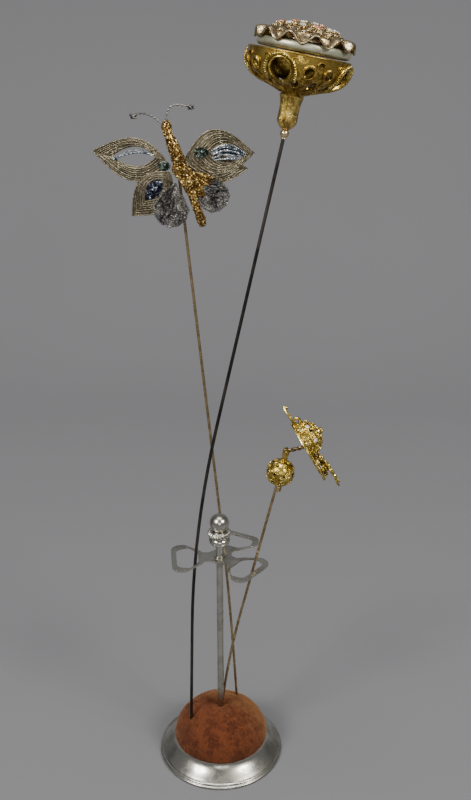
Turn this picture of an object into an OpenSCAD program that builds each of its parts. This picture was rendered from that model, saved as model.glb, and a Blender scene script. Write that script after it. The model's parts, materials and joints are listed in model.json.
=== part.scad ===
// Three hat pins standing in a weighted pincushion holder.
// Origin: centre of the underside. +Z is up, -Y is the front, +X is to the right.

/* [Holder base] */
// Diameter of the spun metal dish
base_d = 60; // [58:0.5:64]
// Height of the lip that grips the pincushion
lip_h = 9.4; // [8.5:0.1:10.5]
// Diameter of the well inside the lip
well_d = 43.6; // [42:0.2:44]
// Thickness of the spun sheet
sheet_t = 0.7; // [0.6:0.05:0.9]
// Diameter of the pincushion
cushion_d = 43.4; // [41.6:0.2:43.6]
// Height of the top of the pincushion
cushion_top = 26; // [24.8:0.2:27]
// Thickness of the velvet cover
velvet_t = 1.2; // [0.8:0.1:1.6]

/* [Post and guide] */
// Diameter of the post
post_d = 3.1; // [2.9:0.1:3.3]
// Height of the underside of the guide
guide_z = 110.4; // [106:0.2:114]
// Thickness of the guide
guide_t = 0.8; // [0.6:0.1:1.2]
// Distance from the post to the outer edge of a loop
guide_reach = 21.9; // [21:0.1:23]
// Half the width of a loop
loop_half = 11.3; // [10.8:0.1:12]
// Width of the strip round a loop
strip_w = 2.3; // [1.8:0.1:2.4]
// Directions of the three loops, in degrees
loop_turns = [62.7, 185.5, 320.6];
// Radius of the finial's ball
finial_r = 4.4; // [3.6:0.1:4.6]

/* [Basket pin] */
// Point where the shank enters the velvet
basket_entry = [-14.3, -4.6, 22];
// Lean of the lower shank to the right and to the back, in degrees
basket_lean_low = [1.4, 1.4]; // [0:0.1:3]
// Lean of the upper shank to the right and to the back, in degrees
basket_lean_high = [12.6, 5]; // [3.1:0.1:14]
// Straight length above the velvet, and length of the bend after it
basket_run = [54, 101]; // [40:1:110]
// Angle by which the head stands straighter than its shank, in degrees
basket_set = 2; // [0:0.5:3]
// Distance along the shank from the velvet to the bead
basket_full = 279.4; // [260:0.2:290]
// Diameter of the shank
basket_shank_d = 1.4; // [1.2:0.1:1.6]
// Radius of the bowl's rim
bowl_r = 20; // [19:0.1:20.4]
// Radius of the cream disc
disc_r = 18.3; // [17.6:0.1:19]
// Distance by which the disc and all above it sit off the bowl's axis, to the right
top_set = 1; // [0:0.1:1.2]
// Thickness of the cream disc
disc_t = 3.5; // [2.8:0.1:3.6]
// Radius of the ruffled border
ruffle_r = 19; // [18:0.1:20.4]
// Waves round the ruffled border
ruffle_waves = 12; // [8:1:16]

/* [Butterfly pin] */
// Point where the shank enters the velvet
butterfly_entry = [7.8, 10, 23];
// Lean of the lower shank to the right and to the back, in degrees
butterfly_lean_low = [-3.4, 2.1]; // [-4:0.1:3]
// Lean of the upper shank to the right and to the back, in degrees
butterfly_lean_high = [-5.8, 2]; // [-7:0.1:3]
// Straight length above the velvet, and length of the bend after it
butterfly_run = [23, 78]; // [20:1:110]
// Length of the shank above the velvet
butterfly_full = 268; // [260:0.5:274]
// Centre of the wings
butterfly_hub = [-14.6, 16.5, 282];
// Angle by which the wings sweep back, in degrees
wing_sweep = 10; // [8:0.5:14]
// Thickness of a wing
wing_t = 0.8; // [0.6:0.1:0.9]

/* [Plaque pin] */
// Point where the shank enters the velvet
plaque_entry = [0.8, 2.9, 25.2];
// Lean of the lower shank to the right and to the back, in degrees
plaque_lean_low = [5.5, -8.8]; // [-10:0.1:8]
// Lean of the upper shank to the right and to the back, in degrees
plaque_lean_high = [12.4, -4]; // [-6:0.1:14]
// Straight length above the velvet, and length of the bend after it
plaque_run = [2, 60]; // [2:1:70]
// Distance along the shank from the velvet to the middle of the ball
plaque_full = 137; // [130:0.2:142]
// Diameter of the two brass shanks
fine_shank_d = 1.2; // [1:0.1:1.3]
// Radius of the filigree ball
ball_r = 5.9; // [5:0.1:6]
// Distance from the middle of the ball to the hinge
hinge_rise = 10.6; // [10:0.1:11.4]
// Length of the twisted arm
arm_len = 7.6; // [7:0.1:9]
// Angle between the plaque's face and straight up, in degrees
plaque_turn = 61; // [55:1:66]
// Angle by which the plaque's face also turns to the back, in degrees
plaque_roll = 10; // [0:1:14]

/* [Hidden] */

$fn = 64;
fit = 0.05;
overlap = 0.2;
point_len = 9;
point_r = 0.08;
pin_depth = 16;
card_t = 1;
floor_z = 3.8;
card_top = floor_z + card_t;
cushion_mid = 10;
guide_top = guide_z + guide_t;
cup_z = guide_top + 6.3;
rope_z = cup_z + 4;
ball_z = rope_z + 3.7;
core_d = 2.4;

// Unit vector along v
function unit(v) = v / norm(v);

// Direction of a wire that leans to the right and to the back
function lean_dir(lean) = unit([tan(lean[0]), tan(lean[1]), 1]);

// A pin: entry point, lower and upper directions, straight length and length of the bend
function pin(entry, low, high, run) = [entry, lean_dir(low), lean_dir(high), run[0], run[1]];

function bend_angle(p) = acos(p[1] * p[2]);
function bend_radius(p) = p[4] * 180 / (PI * bend_angle(p));
function bend_side(p) = unit(p[2] - (p[1] * p[2]) * p[1]);
function bend_start(p) = p[0] + p[3] * p[1];
function bend_arc(p, a) = bend_start(p) + bend_radius(p) * (sin(a) * p[1] + (1 - cos(a)) * bend_side(p));

// Point on the upper shank, at a length along the wire from where it enters the velvet
function along(p, length) = bend_arc(p, bend_angle(p)) + (length - p[3] - p[4]) * p[2];

// Matrix that puts local X and Y on two square directions, and the origin on a point
function axes(x, y, o, z) = [
    [x[0], y[0], z[0], o[0]],
    [x[1], y[1], z[1], o[1]],
    [x[2], y[2], z[2], o[2]],
    [0, 0, 0, 1]
];

basket = pin(basket_entry, basket_lean_low, basket_lean_high, basket_run);
butterfly = pin(butterfly_entry, butterfly_lean_low, butterfly_lean_high, butterfly_run);
plaque = pin(plaque_entry, plaque_lean_low, plaque_lean_high, plaque_run);
hinge_at = along(plaque, plaque_full + hinge_rise);

// Turns +Z to a direction and leaves the front at the front
module point_up(dir) {
    turn = atan2(dir[1], dir[0]);
    rotate([0, acos(dir[2]), turn])
        rotate([0, 0, -turn])
            children();
}

// Puts children on a pin's upper shank, with +Z along the wire
module on_pin(p, length) {
    translate(along(p, length))
        point_up(p[2])
            children();
}

// A round wire, ground to a point, with one even bend
module shank(p, d, length) {
    translate(p[0])
        point_up(p[1]) {
            translate([0, 0, -pin_depth])
                cylinder(h = point_len, r1 = point_r, r2 = d / 2);
            translate([0, 0, point_len - pin_depth])
                cylinder(h = pin_depth - point_len + p[3] + overlap, d = d);
        }
    middle = bend_start(p) + bend_radius(p) * bend_side(p);
    multmatrix(axes(-bend_side(p), p[1], middle, cross(-bend_side(p), p[1])))
        rotate_extrude(angle = bend_angle(p), $fn = 1800)
            translate([bend_radius(p), 0])
                circle(d = d + 0.02, $fn = 32);
    translate(bend_arc(p, bend_angle(p)))
        point_up(p[2])
            translate([0, 0, -overlap])
                cylinder(h = length - p[3] - p[4] + overlap, d = d);
}

// The holes that the three pins make, with running clearance
module pin_holes() {
    for (hole = [[basket, basket_shank_d], [butterfly, fine_shank_d], [plaque, fine_shank_d]])
        translate(hole[0][0])
            point_up(hole[0][1])
                translate([0, 0, -pin_depth - 0.5])
                    cylinder(h = pin_depth + 6, d = hole[1] + 2 * fit);
}

// A straight wire between two points
module rod(a, b, r) {
    translate(a)
        point_up(unit(b - a))
            cylinder(h = norm(b - a), r = r, $fn = 20);
}

// A bent wire through points, drawn as an eight-sided tube
module wire(points, r) {
    last = len(points) - 1;
    skin([
        for (i = [0 : last])
            let (
                dir = unit(points[min(i + 1, last)] - points[max(i - 1, 0)]),
                side = unit(cross(dir, [0, 1, 0])),
                up = cross(side, dir)
            )
                [for (j = [0 : 7]) points[i] + r * (cos(j * 45) * side + sin(j * 45) * up)]
    ]);
}

// A closed mesh through rings of equal length, each joined to the next
module skin(rings, loop = false) {
    n = len(rings[0]);
    m = len(rings);
    sides = [
        for (i = [0 : m - (loop ? 1 : 2)], j = [0 : n - 1])
            [i * n + j, i * n + (j + 1) % n, ((i + 1) % m) * n + (j + 1) % n, ((i + 1) % m) * n + j]
    ];
    ends = loop ? [] : [[for (j = [n - 1 : -1 : 0]) j], [for (j = [0 : n - 1]) (m - 1) * n + j]];
    polyhedron(points = [for (ring = rings) each ring], faces = concat(sides, ends), convexity = 8);
}

/* ---- Holder ---- */

// Outer slope of the dish, from its foot at 0 to its lip at 1
function slope(t) = [
    base_d / 2 - 1.7 - (base_d / 2 - well_d / 2 - 3.1) * t,
    2.6 + (lip_h - 3.1) * t * t * (3 - 2 * t)
];

module base_dish() {
    steps = 10;
    foot_r = base_d / 2;
    lip_r = well_d / 2 + sheet_t;
    color("gainsboro")
        rotate_extrude($fn = 96)
            polygon(concat(
                [[foot_r - 0.9, 0.15], [foot_r - 0.2, 0.3], [foot_r, 0.7], [foot_r - 0.1, 1.2]],
                [[foot_r - 0.6, 1.55], [foot_r - 0.95, 1.6], [foot_r - 1.1, 2], [foot_r - 1.35, 2.4]],
                [for (i = [0 : steps]) slope(i / steps)],
                [[lip_r + 0.35, lip_h - 0.1], [lip_r, lip_h], [lip_r - 0.5, lip_h - 0.1], [well_d / 2, lip_h - 0.5]],
                [[well_d / 2, floor_z + 0.5], [well_d / 2 - 0.5, floor_z], [post_d / 2, floor_z]],
                [[post_d / 2, floor_z - sheet_t], [lip_r - 0.7, floor_z - sheet_t], [lip_r, floor_z]],
                [for (i = [steps : -1 : 0]) slope(i / steps) - [0.45, 0.7]],
                [[foot_r - 1.9, 1.3]]
            ));
}

module base_weight() {
    color("dimgray")
        rotate_extrude()
            polygon([
                [9, 0.55], [base_d / 2 - 2.6, 0.55], [base_d / 2 - 3.4, 1.5],
                [well_d / 2, 2.4], [well_d / 2 - 0.6, 3.05], [9, 3.05]
            ]);
}

module base_cloth() {
    color("darkgreen")
        cylinder(h = 0.5, r = base_d / 2 - 1.8);
}

module cushion_card() {
    color("tan")
        translate([0, 0, floor_z])
            difference() {
                cylinder(h = card_t, r = well_d / 2 - 0.7);
                translate([0, 0, -1])
                    cylinder(h = card_t + 2, d = post_d);
            }
}

// Half section of the pincushion, set in by a wall
function cushion_side(wall) = [
    for (i = [0 : 16])
        let (t = -20 + i * 110 / 16)
            [max(0, (cushion_d / 2 - wall) * cos(t)), cushion_mid + (cushion_top - cushion_mid - wall) * sin(t)]
];

module cushion_filling() {
    color("burlywood")
        difference() {
            intersection() {
                rotate_extrude()
                    polygon(concat([[0, 0]], cushion_side(velvet_t)));
                translate([0, 0, card_top])
                    cylinder(h = cushion_top, r = base_d);
            }
            translate([0, 0, card_top - 1])
                cylinder(h = cushion_top, d = post_d);
            pin_holes();
        }
}

module cushion_velvet() {
    color("sienna")
        difference() {
            rotate_extrude()
                polygon(concat(cushion_side(0), [for (i = [16 : -1 : 0]) cushion_side(velvet_t)[i]]));
            translate([0, 0, card_top - 1])
                cylinder(h = cushion_top, d = post_d);
            pin_holes();
        }
}

module post() {
    color("silver") {
        translate([0, 0, 0.8])
            cylinder(h = guide_z - 0.8, d = post_d);
        translate([0, 0, guide_z])
            cylinder(h = ball_z - guide_z + 2, d = core_d);
    }
}

module post_washer() {
    color("gray")
        translate([0, 0, floor_z - sheet_t - 0.6])
            difference() {
                cylinder(h = 0.6, r = 5);
                translate([0, 0, -1])
                    cylinder(h = 3, d = post_d);
            }
}

module post_nut() {
    color("goldenrod")
        translate([0, 0, 0.9])
            difference() {
                cylinder(h = floor_z - sheet_t - 1.5, r = 3.6, $fn = 6);
                translate([0, 0, -1])
                    cylinder(h = 5, d = post_d);
            }
}

// Outline of a shape whose corners are rounded to one radius; the corners run anticlockwise
function rounded(corners, r, steps = 5) = [
    for (i = [0 : len(corners) - 1])
        let (
            n = len(corners),
            v = corners[i],
            a = unit(corners[(i + n - 1) % n] - v),
            b = unit(corners[(i + 1) % n] - v),
            half = acos(a * b) / 2,
            middle = v + unit(a + b) * r / sin(half),
            first = atan2(a[0], -a[1])
        )
            for (k = [0 : steps])
                middle + r * [cos(first + k * (180 - 2 * half) / steps), sin(first + k * (180 - 2 * half) / steps)]
];

// Corners of a loop: narrow at the post, widest near its outer edge
function loop_corners(inner, narrow, wide, outer) = [
    [inner, -narrow], [outer - 5.6, -wide], [outer, -wide + 1.8],
    [outer, wide - 1.8], [outer - 5.6, wide], [inner, narrow]
];

module pin_guide() {
    neck = 3.4;
    color("silver")
        translate([0, 0, guide_z])
            linear_extrude(guide_t)
                difference() {
                    union() {
                        circle(r = 5);
                        for (turn = loop_turns)
                            rotate(turn) {
                                polygon(rounded(loop_corners(7.6, 4.4, loop_half, guide_reach), 4));
                                polygon(concat(
                                    [for (u = [1.5 : 1 : 10.5]) [u, -neck - 0.1 * (u - 6) * (u - 6)]],
                                    [for (u = [10.5 : -1 : 1.5]) [u, neck + 0.1 * (u - 6) * (u - 6)]]
                                ));
                            }
                    }
                    for (turn = loop_turns)
                        rotate(turn)
                            polygon(rounded(
                                loop_corners(9.7, 4.2, loop_half - strip_w, guide_reach - strip_w), 2.7));
                    circle(d = core_d);
                }
}

module finial_stem() {
    color("silver")
        translate([0, 0, guide_top])
            difference() {
                union() {
                    cylinder(h = cup_z - guide_top, d = 3.7);
                    cylinder(h = 0.6, d = 5);
                }
                translate([0, 0, -1])
                    cylinder(h = cup_z - guide_top + 2, d = core_d);
            }
}

module finial_cup() {
    color("silver")
        rotate_extrude()
            polygon(concat(
                [[core_d / 2, cup_z], [2.4, cup_z], [2.7, cup_z + 0.6]],
                [for (t = [-40 : 20 : 60]) [4.75 - 1.9 * (1 - cos(t)), cup_z + 2.3 + 1.9 * sin(t)]],
                [[3.6, rope_z], [core_d / 2, rope_z]]
            ));
}

module finial_gadroon() {
    color("gainsboro")
        rotate_extrude()
            polygon(concat(
                [[core_d / 2, rope_z], [3.6, rope_z]],
                [for (t = [-70 : 20 : 70]) [3.3 + 1.9 * cos(t), rope_z + 1.85 + 1.8 * sin(t)]],
                [[3.4, ball_z], [core_d / 2, ball_z]]
            ));
}

module finial_ball() {
    color("gainsboro")
        difference() {
            translate([0, 0, ball_z + finial_r * 0.8])
                sphere(r = finial_r);
            translate([0, 0, ball_z - finial_r])
                cylinder(h = finial_r, r = finial_r * 2);
            translate([0, 0, ball_z - 1])
                cylinder(h = 3, d = core_d);
        }
}

/* ---- Basket pin ---- */

bowl_low = 14;
bowl_high = 29.2;
disc_low = bowl_high + 1.3;
disc_high = disc_low + disc_t;
ruffle_mid = disc_high + 2.2;
dome_r = 15.6;
dome_low = disc_high + 0.6;
dome_high = dome_low + 6;
rod_r = 0.9;
stone_ring = [5, 10.6];
arch_turns = [-113, -23, 67, 157];
arch_at = 23.5;

// Radius of the bowl at a height above the bead: a flare, then a full round side
function bowl_at(s) =
    s < bowl_low + 4
        ? 4.4 + 7 * pow((s - bowl_low) / 4, 2.4)
        : bowl_r - 10.6 + 10.6 * sqrt(1 - pow(max(0, bowl_low + 13 - s) / 9.2, 2));

// Puts children on the basket head, with +Z up its axis from the middle of its bead
module on_head() {
    translate(along(basket, basket_full))
        rotate([0, -basket_set, 0])
            point_up(basket[2])
                children();
}

// Point on the outside of the bowl, at a direction and a height
function on_bowl(turn, s, out = 0) =
    [(bowl_at(s) + out) * cos(turn - 90), (bowl_at(s) + out) * sin(turn - 90), s];

// A ring or arc of wire laid on the bowl round a direction and a height
function bowl_ring(turn, s, r, from, to, steps) = [
    for (i = [0 : steps])
        let (a = from + (to - from) * i / steps)
            on_bowl(turn + r * cos(a) * 180 / (PI * bowl_at(s)), s + r * sin(a), 0.25)
];

// Height of the dome over its own edge, at a radius
function dome_at(r) = dome_low + (dome_high - dome_low) * sqrt(max(0, 1 - pow(r / (dome_r + 0.6), 2)));

module basket_shank() {
    color("darkslategray")
        shank(basket, basket_shank_d, basket_full + 8);
}

module basket_bead() {
    color("khaki")
        on_head()
            difference() {
                sphere(r = 1.8);
                cylinder(h = 5, d = basket_shank_d, center = true);
            }
}

// Calyx radius at a height: closed above the bead, fullest a third of the way up
function calyx_at(s) = 4.4 - 2.8 * pow(max(0, 1 - (s - 1.8) / 3.8), 2) - 0.4 * sin(180 * (s - 1.8) / 12.2);

module basket_calyx() {
    sides = 40;
    color("goldenrod")
        on_head()
            difference() {
                skin([
                    for (s = [1.8, 2.4, 3.2, 4.2, 5.5, 7, 9, 11, 12.6, 14])
                        [for (j = [0 : sides - 1])
                            let (a = j * 360 / sides, r = calyx_at(s) * (0.9 + 0.1 * cos(4 * (a + 26))))
                                [r * cos(a), r * sin(a), s]]
                ]);
                cylinder(h = 8, d = basket_shank_d);
                translate([0, 0, 11])
                    cylinder(h = 5, r = rod_r);
            }
}

// Windows through the bowl's wall: direction, height and radius of each
windows = [
    for (turn = arch_turns)
        each [[turn, arch_at, 3.7], [turn + 34, 24, 2], [turn + 57, 23.6, 1.8],
            [turn + 23, 19.4, 1.1], [turn + 67, 19.4, 1.1]]
];

module basket_bowl() {
    wall = 0.8;
    heights = [for (i = [0 : 14]) bowl_low + (bowl_high - bowl_low) * i / 14];
    color("goldenrod")
        on_head()
            difference() {
                rotate_extrude()
                    polygon(concat(
                        [for (s = heights) [bowl_at(s), s]],
                        [for (i = [14 : -1 : 3]) [bowl_at(heights[i]) - wall, heights[i] + (i < 14 ? 0.35 : 0)]],
                        [[rod_r, bowl_low + 2.3], [rod_r, bowl_low]]
                    ));
                for (window = windows)
                    rotate(window[0] - 90)
                        translate([0, 0, window[1]])
                            rotate([0, 90, 0])
                                translate([0, 0, 5])
                                    cylinder(h = 20, r = window[2], $fn = 32);
            }
}

module bowl_arches() {
    color("gold")
        on_head()
            for (turn = arch_turns)
                wire(bowl_ring(turn, arch_at - 0.6, 5.5, -15, 195, 14), 0.45);
}

module bowl_scrolls() {
    color("goldenrod")
        on_head()
            for (turn = arch_turns, scroll = [[34, 2.7, 24], [57, 2.3, 23.6]])
                rotate(turn + scroll[0] - 90)
                    translate([bowl_at(scroll[2]) + 0.2, 0, scroll[2]])
                        rotate([0, 84, 0])
                            rotate_extrude($fn = 48)
                                translate([scroll[1], 0])
                                    circle(r = 0.4, $fn = 20);
}

module bowl_rim() {
    color("goldenrod")
        on_head()
            translate([0, 0, bowl_high + 0.5])
                rotate_extrude($fn = 96)
                    translate([bowl_r - 0.5, 0])
                        circle(r = 0.5, $fn = 20);
}

module tie_rod() {
    color("darkgoldenrod")
        on_head()
            translate([0, 0, 11])
                cylinder(h = dome_high - 11 + 1.4, r = rod_r);
}

module disc_spacer() {
    color("darkgoldenrod")
        on_head()
            translate([0, 0, bowl_low + 2.3])
                difference() {
                    cylinder(h = disc_low - bowl_low - 2.3, r = 1.8);
                    translate([0, 0, -1])
                        cylinder(h = 20, r = rod_r);
                }
}

module cream_disc() {
    color("beige")
        on_head()
            difference() {
                translate([top_set, 0, 0])
                    rotate_extrude($fn = 96)
                        polygon([
                            [0, disc_low], [disc_r - 0.5, disc_low], [disc_r, disc_low + 0.5],
                            [disc_r, disc_high - 0.7], [disc_r - 0.7, disc_high], [0, disc_high]
                        ]);
                translate([0, 0, disc_low - 1])
                    cylinder(h = disc_t + 2, r = rod_r);
            }
}

// Height of the ruffle's wave at an angle and a share of its width
function wave(a, share) = ruffle_mid + 1.7 * share * sin(ruffle_waves * a);

module top_ruffle() {
    steps = ruffle_waves * 14;
    thick = 0.6;
    edge = [[dome_r - 0.4, 0], [(dome_r + ruffle_r) / 2, 0.55], [ruffle_r, 1]];
    color("rosybrown")
        on_head()
            translate([top_set, 0, 0])
                skin([
                    for (i = [0 : steps - 1])
                        let (a = -i * 360 / steps)
                            [for (k = [0, 1, 2, 5, 4, 3])
                                let (e = edge[k % 3], lift = k < 3 ? 0 : thick)
                                    [e[0] * cos(a), e[0] * sin(a), wave(a, e[1]) + lift]]
                ], loop = true);
}

module top_dome() {
    wall = 0.7;
    radii = [for (i = [0 : 12]) dome_r * cos(i * 7.5)];
    color("darkkhaki")
        on_head()
            difference() {
                translate([top_set, 0, 0])
                    rotate_extrude($fn = 96)
                        polygon(concat(
                            [[dome_r, disc_high]],
                            [for (r = radii) [max(r, 0), dome_at(r)]],
                            [for (i = [12 : -1 : 0]) [max(radii[i] - wall * 0.7, 0), dome_at(radii[i]) - wall]],
                            [[dome_r - 0.8, disc_high]]
                        ));
                cylinder(h = 60, r = rod_r);
                for (i = [0 : 11])
                    translate([top_set, 0, disc_high + 0.5])
                        rotate(i * 30 + 15)
                            translate([13.4, 0, 0])
                                cylinder(h = 12, r = 0.9, $fn = 24);
            }
}

module tie_nut() {
    color("gold")
        on_head()
            translate([0, 0, dome_high])
                difference() {
                    rotate_extrude()
                        polygon([for (t = [0 : 15 : 90]) [2.2 * cos(t), 1.7 * sin(t)], [0, 0]]);
                    translate([0, 0, -1])
                        cylinder(h = 2.4, r = rod_r);
                }
}

// Children at each seat on the dome; every third seat of a ring is set apart
module seats(ring, coral) {
    count = ring == 0 ? 6 : 12;
    for (i = [0 : count - 1])
        if ((i % 3 == 0) == coral)
            translate([top_set, 0, 0])
                rotate(i * 360 / count + 15 * ring)
                    translate([stone_ring[ring], 0, dome_at(stone_ring[ring])])
                        rotate([0, stone_ring[ring] * 2.6, 0])
                            children();
}

module cup_shape(r) {
    difference() {
        translate([0, 0, -0.4])
            cylinder(h = 1.3, r = r + 0.35, $fn = 24);
        translate([0, 0, 0.3])
            cylinder(h = 2, r = r, $fn = 24);
    }
}

module stone_shape(r) {
    translate([0, 0, 0.3]) {
        cylinder(h = 0.6, r = r, $fn = 24);
        translate([0, 0, 0.6])
            cylinder(h = 0.6, r1 = r, r2 = r * 0.6, $fn = 24);
    }
}

module stone_cups() {
    color("darkgoldenrod")
        on_head()
            for (ring = [0, 1], coral = [false, true])
                seats(ring, coral)
                    cup_shape(1.3);
}

module clear_stones() {
    color("white")
        on_head()
            for (ring = [0, 1])
                seats(ring, false)
                    stone_shape(1.3);
}

module coral_stones() {
    color("lightcoral")
        on_head()
            for (ring = [0, 1])
                seats(ring, true)
                    stone_shape(1.3);
}

/* ---- Butterfly pin ---- */

// Outline of a pointed leaf from its root to its tip, bulging by up and down on its two sides
function leaf(root, tip, up, down, steps = 18) =
    let (
        side = unit([root[1] - tip[1], tip[0] - root[0]]),
        swell = function (t) sin(180 * pow(t, 0.85))
    ) concat(
        [for (i = [0 : steps]) let (t = i / steps) root + (tip - root) * t - side * down * swell(t)],
        [for (i = [steps - 1 : -1 : 1]) let (t = i / steps) root + (tip - root) * t + side * up * swell(t)]
    );

// Stands a flat outline up, facing the front, and sweeps it back at its root
module wing(depth, sweep, t = wing_t) {
    translate(butterfly_hub)
        rotate([0, 0, sweep])
            translate([0, depth, 0])
                rotate([90, 0, 0])
                    linear_extrude(t)
                        children();
}

module butterfly_shank() {
    color("peru")
        shank(butterfly, fine_shank_d, butterfly_full);
}

module wing_binding() {
    color("goldenrod")
        on_pin(butterfly, butterfly_full - 9)
            difference() {
                cylinder(h = 9, r = 1.1);
                translate([0, 0, -1])
                    cylinder(h = 11, d = fine_shank_d);
            }
}

module wing_spine() {
    color("darkgoldenrod")
        translate(butterfly_hub + [-2.4, -1.7, 1.2])
            cube([2, 3.3, 7.6]);
}

module body_head() {
    color("goldenrod")
        translate(butterfly_hub + [-4.6, -2.6, 17.2])
            sphere(r = 2.1);
}

module body_thorax() {
    color("goldenrod")
        translate(butterfly_hub + [1, -4.2, 3.2])
            point_up(unit([-4.9, 1, 11.6]))
                rotate_extrude()
                    polygon([[0, 0], [1.6, 0.2], [2.4, 3], [2.5, 7], [1.9, 11], [1.2, 12.6], [0, 12.8]]);
}

module body_abdomen() {
    color("goldenrod")
        translate(butterfly_hub + [1.1, -4.2, 2.8])
            point_up(unit([9, 0.6, -25]))
                rotate_extrude()
                    polygon([[0, 0], [1.8, 0.4], [2.1, 6], [1.7, 14], [1.9, 24], [1.3, 26.6], [0, 27]]);
}

module bullion_rays() {
    ends = [[16.5, -3.2], [16, -5.6], [14, -8], [11.5, -10.4]];
    color("darkgoldenrod")
        for (i = [0 : len(ends) - 1])
            translate(butterfly_hub)
                rotate([0, 0, wing_sweep])
                    rod([3.8, -2.3, 0.6 - i * 1.2], [ends[i][0], -2.3, ends[i][1]], 0.5);
}

module antenna_left() {
    path = [[-18.6, -3, 21.6], [-15.8, -3, 22.7], [-12.9, -3, 22.5], [-9.8, -3, 21.3], [-6.9, -2.6, 19]];
    color("dimgray")
        translate(butterfly_hub) {
            wire(path, 0.35);
            translate(path[0])
                rotate([0, 0, 180])
                    sphere(r = 1.1, $fn = 24);
        }
}

module antenna_right() {
    path = [[-4.4, -2.6, 19.8], [-4, -3, 23.4], [-2.8, -3, 25.4], [0, -3, 26], [4.2, -3, 25.2]];
    color("dimgray")
        translate(butterfly_hub) {
            wire(path, 0.35);
            translate(path[4])
                sphere(r = 1.1, $fn = 24);
        }
}

module forewing_left() {
    color("darkkhaki")
        wing(0.3, -wing_sweep)
            difference() {
                polygon(leaf([-3.4, 0.8], [-35.3, 5.8], 8.6, 8.4));
                polygon(leaf([-8.8, 4.4], [-27.8, 4], 4, 4.2));
            }
}

module forewing_right() {
    color("darkkhaki")
        wing(-0.7, wing_sweep)
            difference() {
                polygon(leaf([2.8, 3.6], [31, 5.4], 10.6, 8));
                polygon(leaf([13, 6.2], [27.8, 4.6], 4.6, 4.8));
            }
}

module hindwing_left() {
    color("darkkhaki")
        wing(-0.7, -wing_sweep)
            difference() {
                polygon(leaf([-3, -1.2], [-19.6, -19.6], 8.4, 6.8));
                polygon(leaf([-6.2, -4.2], [-13.4, -12.6], 3.2, 3));
            }
}

module hindwing_right() {
    color("darkkhaki")
        wing(0.3, wing_sweep)
            difference() {
                polygon(leaf([3, -0.6], [28.6, -1], 6, 6));
                polygon(leaf([9, -0.6], [24, -1], 2, 2));
            }
}

// A round fan of gauze on a short stalk
module fan(centre, r) {
    hull() {
        translate([centre[0] * 0.25, centre[1] * 0.25])
            circle(r = 1.2, $fn = 24);
        translate(centre)
            circle(r = r, $fn = 40);
    }
}

module tail_fan_left() {
    color("gray")
        wing(1.3, -2, 0.5)
            fan([-3, -16.2], 6.6);
}

module tail_fan_right() {
    color("gray")
        wing(1.7, wing_sweep, 0.5)
            fan([14, -11], 6);
}

module forewing_tinsel() {
    color("lightsteelblue") {
        translate(butterfly_hub)
            rotate([0, 0, -wing_sweep])
                wire([for (i = [0 : 6]) [-9 - i * 2.9, -0.1, 4.6 - 0.35 * i + 1.3 * sin(30 * i)]], 0.35);
        translate(butterfly_hub)
            rotate([0, 0, wing_sweep])
                wire([for (i = [0 : 6]) [13.4 + i * 2.3, -1.1, 5.6 - 0.1 * i + 2 * sin(30 * i)]], 0.35);
    }
}

module hindwing_foil() {
    color("slateblue")
        wing(-0.9, -wing_sweep, 0.4)
            polygon(leaf([-6.2, -4.2], [-13.4, -12.6], 3.2, 3));
}

module wing_eyes() {
    color("darkseagreen") {
        wing(-1.2, wing_sweep, 0.7)
            translate([8.6, 6.8])
                circle(r = 2.2, $fn = 32);
        wing(-0.2, -wing_sweep, 0.7)
            translate([-5.2, 1.8])
                circle(r = 1.6, $fn = 32);
    }
}

/* ---- Plaque pin ---- */

rivet_r = 0.45;
ear_gap = 1.3;
ear_t = 0.8;
collar_low = plaque_full - ball_r - 4.2;

module plaque_shank() {
    color("peru")
        shank(plaque, fine_shank_d, plaque_full - 3);
}

module wrap_collar() {
    color("gold")
        on_pin(plaque, collar_low)
            for (i = [0 : 4])
                translate([0, 0, 0.4 + i * 0.85])
                    rotate_extrude($fn = 48)
                        translate([fine_shank_d / 2 + 0.42, 0])
                            circle(r = 0.42, $fn = 20);
}

module filigree_ball() {
    color("gold")
        on_pin(plaque, plaque_full)
            difference() {
                sphere(r = ball_r, $fn = 72);
                sphere(r = ball_r - 0.8, $fn = 72);
                for (ring = [[-32, 8], [14, 8], [50, 6]], i = [0 : 7])
                    if (i < ring[1])
                        rotate([0, 90 - ring[0], i * 360 / ring[1] + ring[0]])
                            translate([0, 0, ball_r - 2])
                                cylinder(h = 4, r = 0.75, $fn = 24);
                translate([0, 0, -ball_r - 1])
                    cylinder(h = 3, d = fine_shank_d);
            }
}

module knuckle() {
    half = ear_gap / 2 + ear_t;
    color("gold")
        on_pin(plaque, plaque_full)
            difference() {
                union() {
                    translate([0, 0, ball_r - 0.2])
                        cylinder(h = 2, r = 1.2);
                    translate([-1.2, -half, ball_r + 1.6])
                        cube([2.4, 2 * half, hinge_rise - ball_r - 1.6]);
                    translate([0, half, hinge_rise])
                        rotate([90, 0, 0])
                            cylinder(h = 2 * half, r = 1.2);
                }
                translate([-3, -ear_gap / 2, hinge_rise - 1.6])
                    cube([6, ear_gap, 5]);
                translate([0, 5, hinge_rise])
                    rotate([90, 0, 0])
                        cylinder(h = 10, r = rivet_r);
                sphere(r = ball_r);
            }
}

module knuckle_rivet() {
    half = ear_gap / 2 + ear_t;
    color("goldenrod")
        on_pin(plaque, plaque_full)
            translate([0, 0, hinge_rise])
                rotate([90, 0, 0]) {
                    cylinder(h = 2 * half, r = rivet_r, center = true);
                    translate([0, 0, half])
                        cylinder(h = 0.4, r = 0.8);
                    translate([0, 0, -half - 0.4])
                        cylinder(h = 0.4, r = 0.8);
                }
}

// Puts children at the hinge, with +Z along the arm at rest and +Y along the rivet
module on_hinge() {
    translate(hinge_at)
        point_up(plaque[2])
            rotate([0, arm_fold, 0])
                children();
}

arm_fold = 62.5;
arm_lean = arm_fold + plaque_lean_high[0];
arm_end = hinge_at + arm_len * [sin(arm_lean), 0, cos(arm_lean)];

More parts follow.
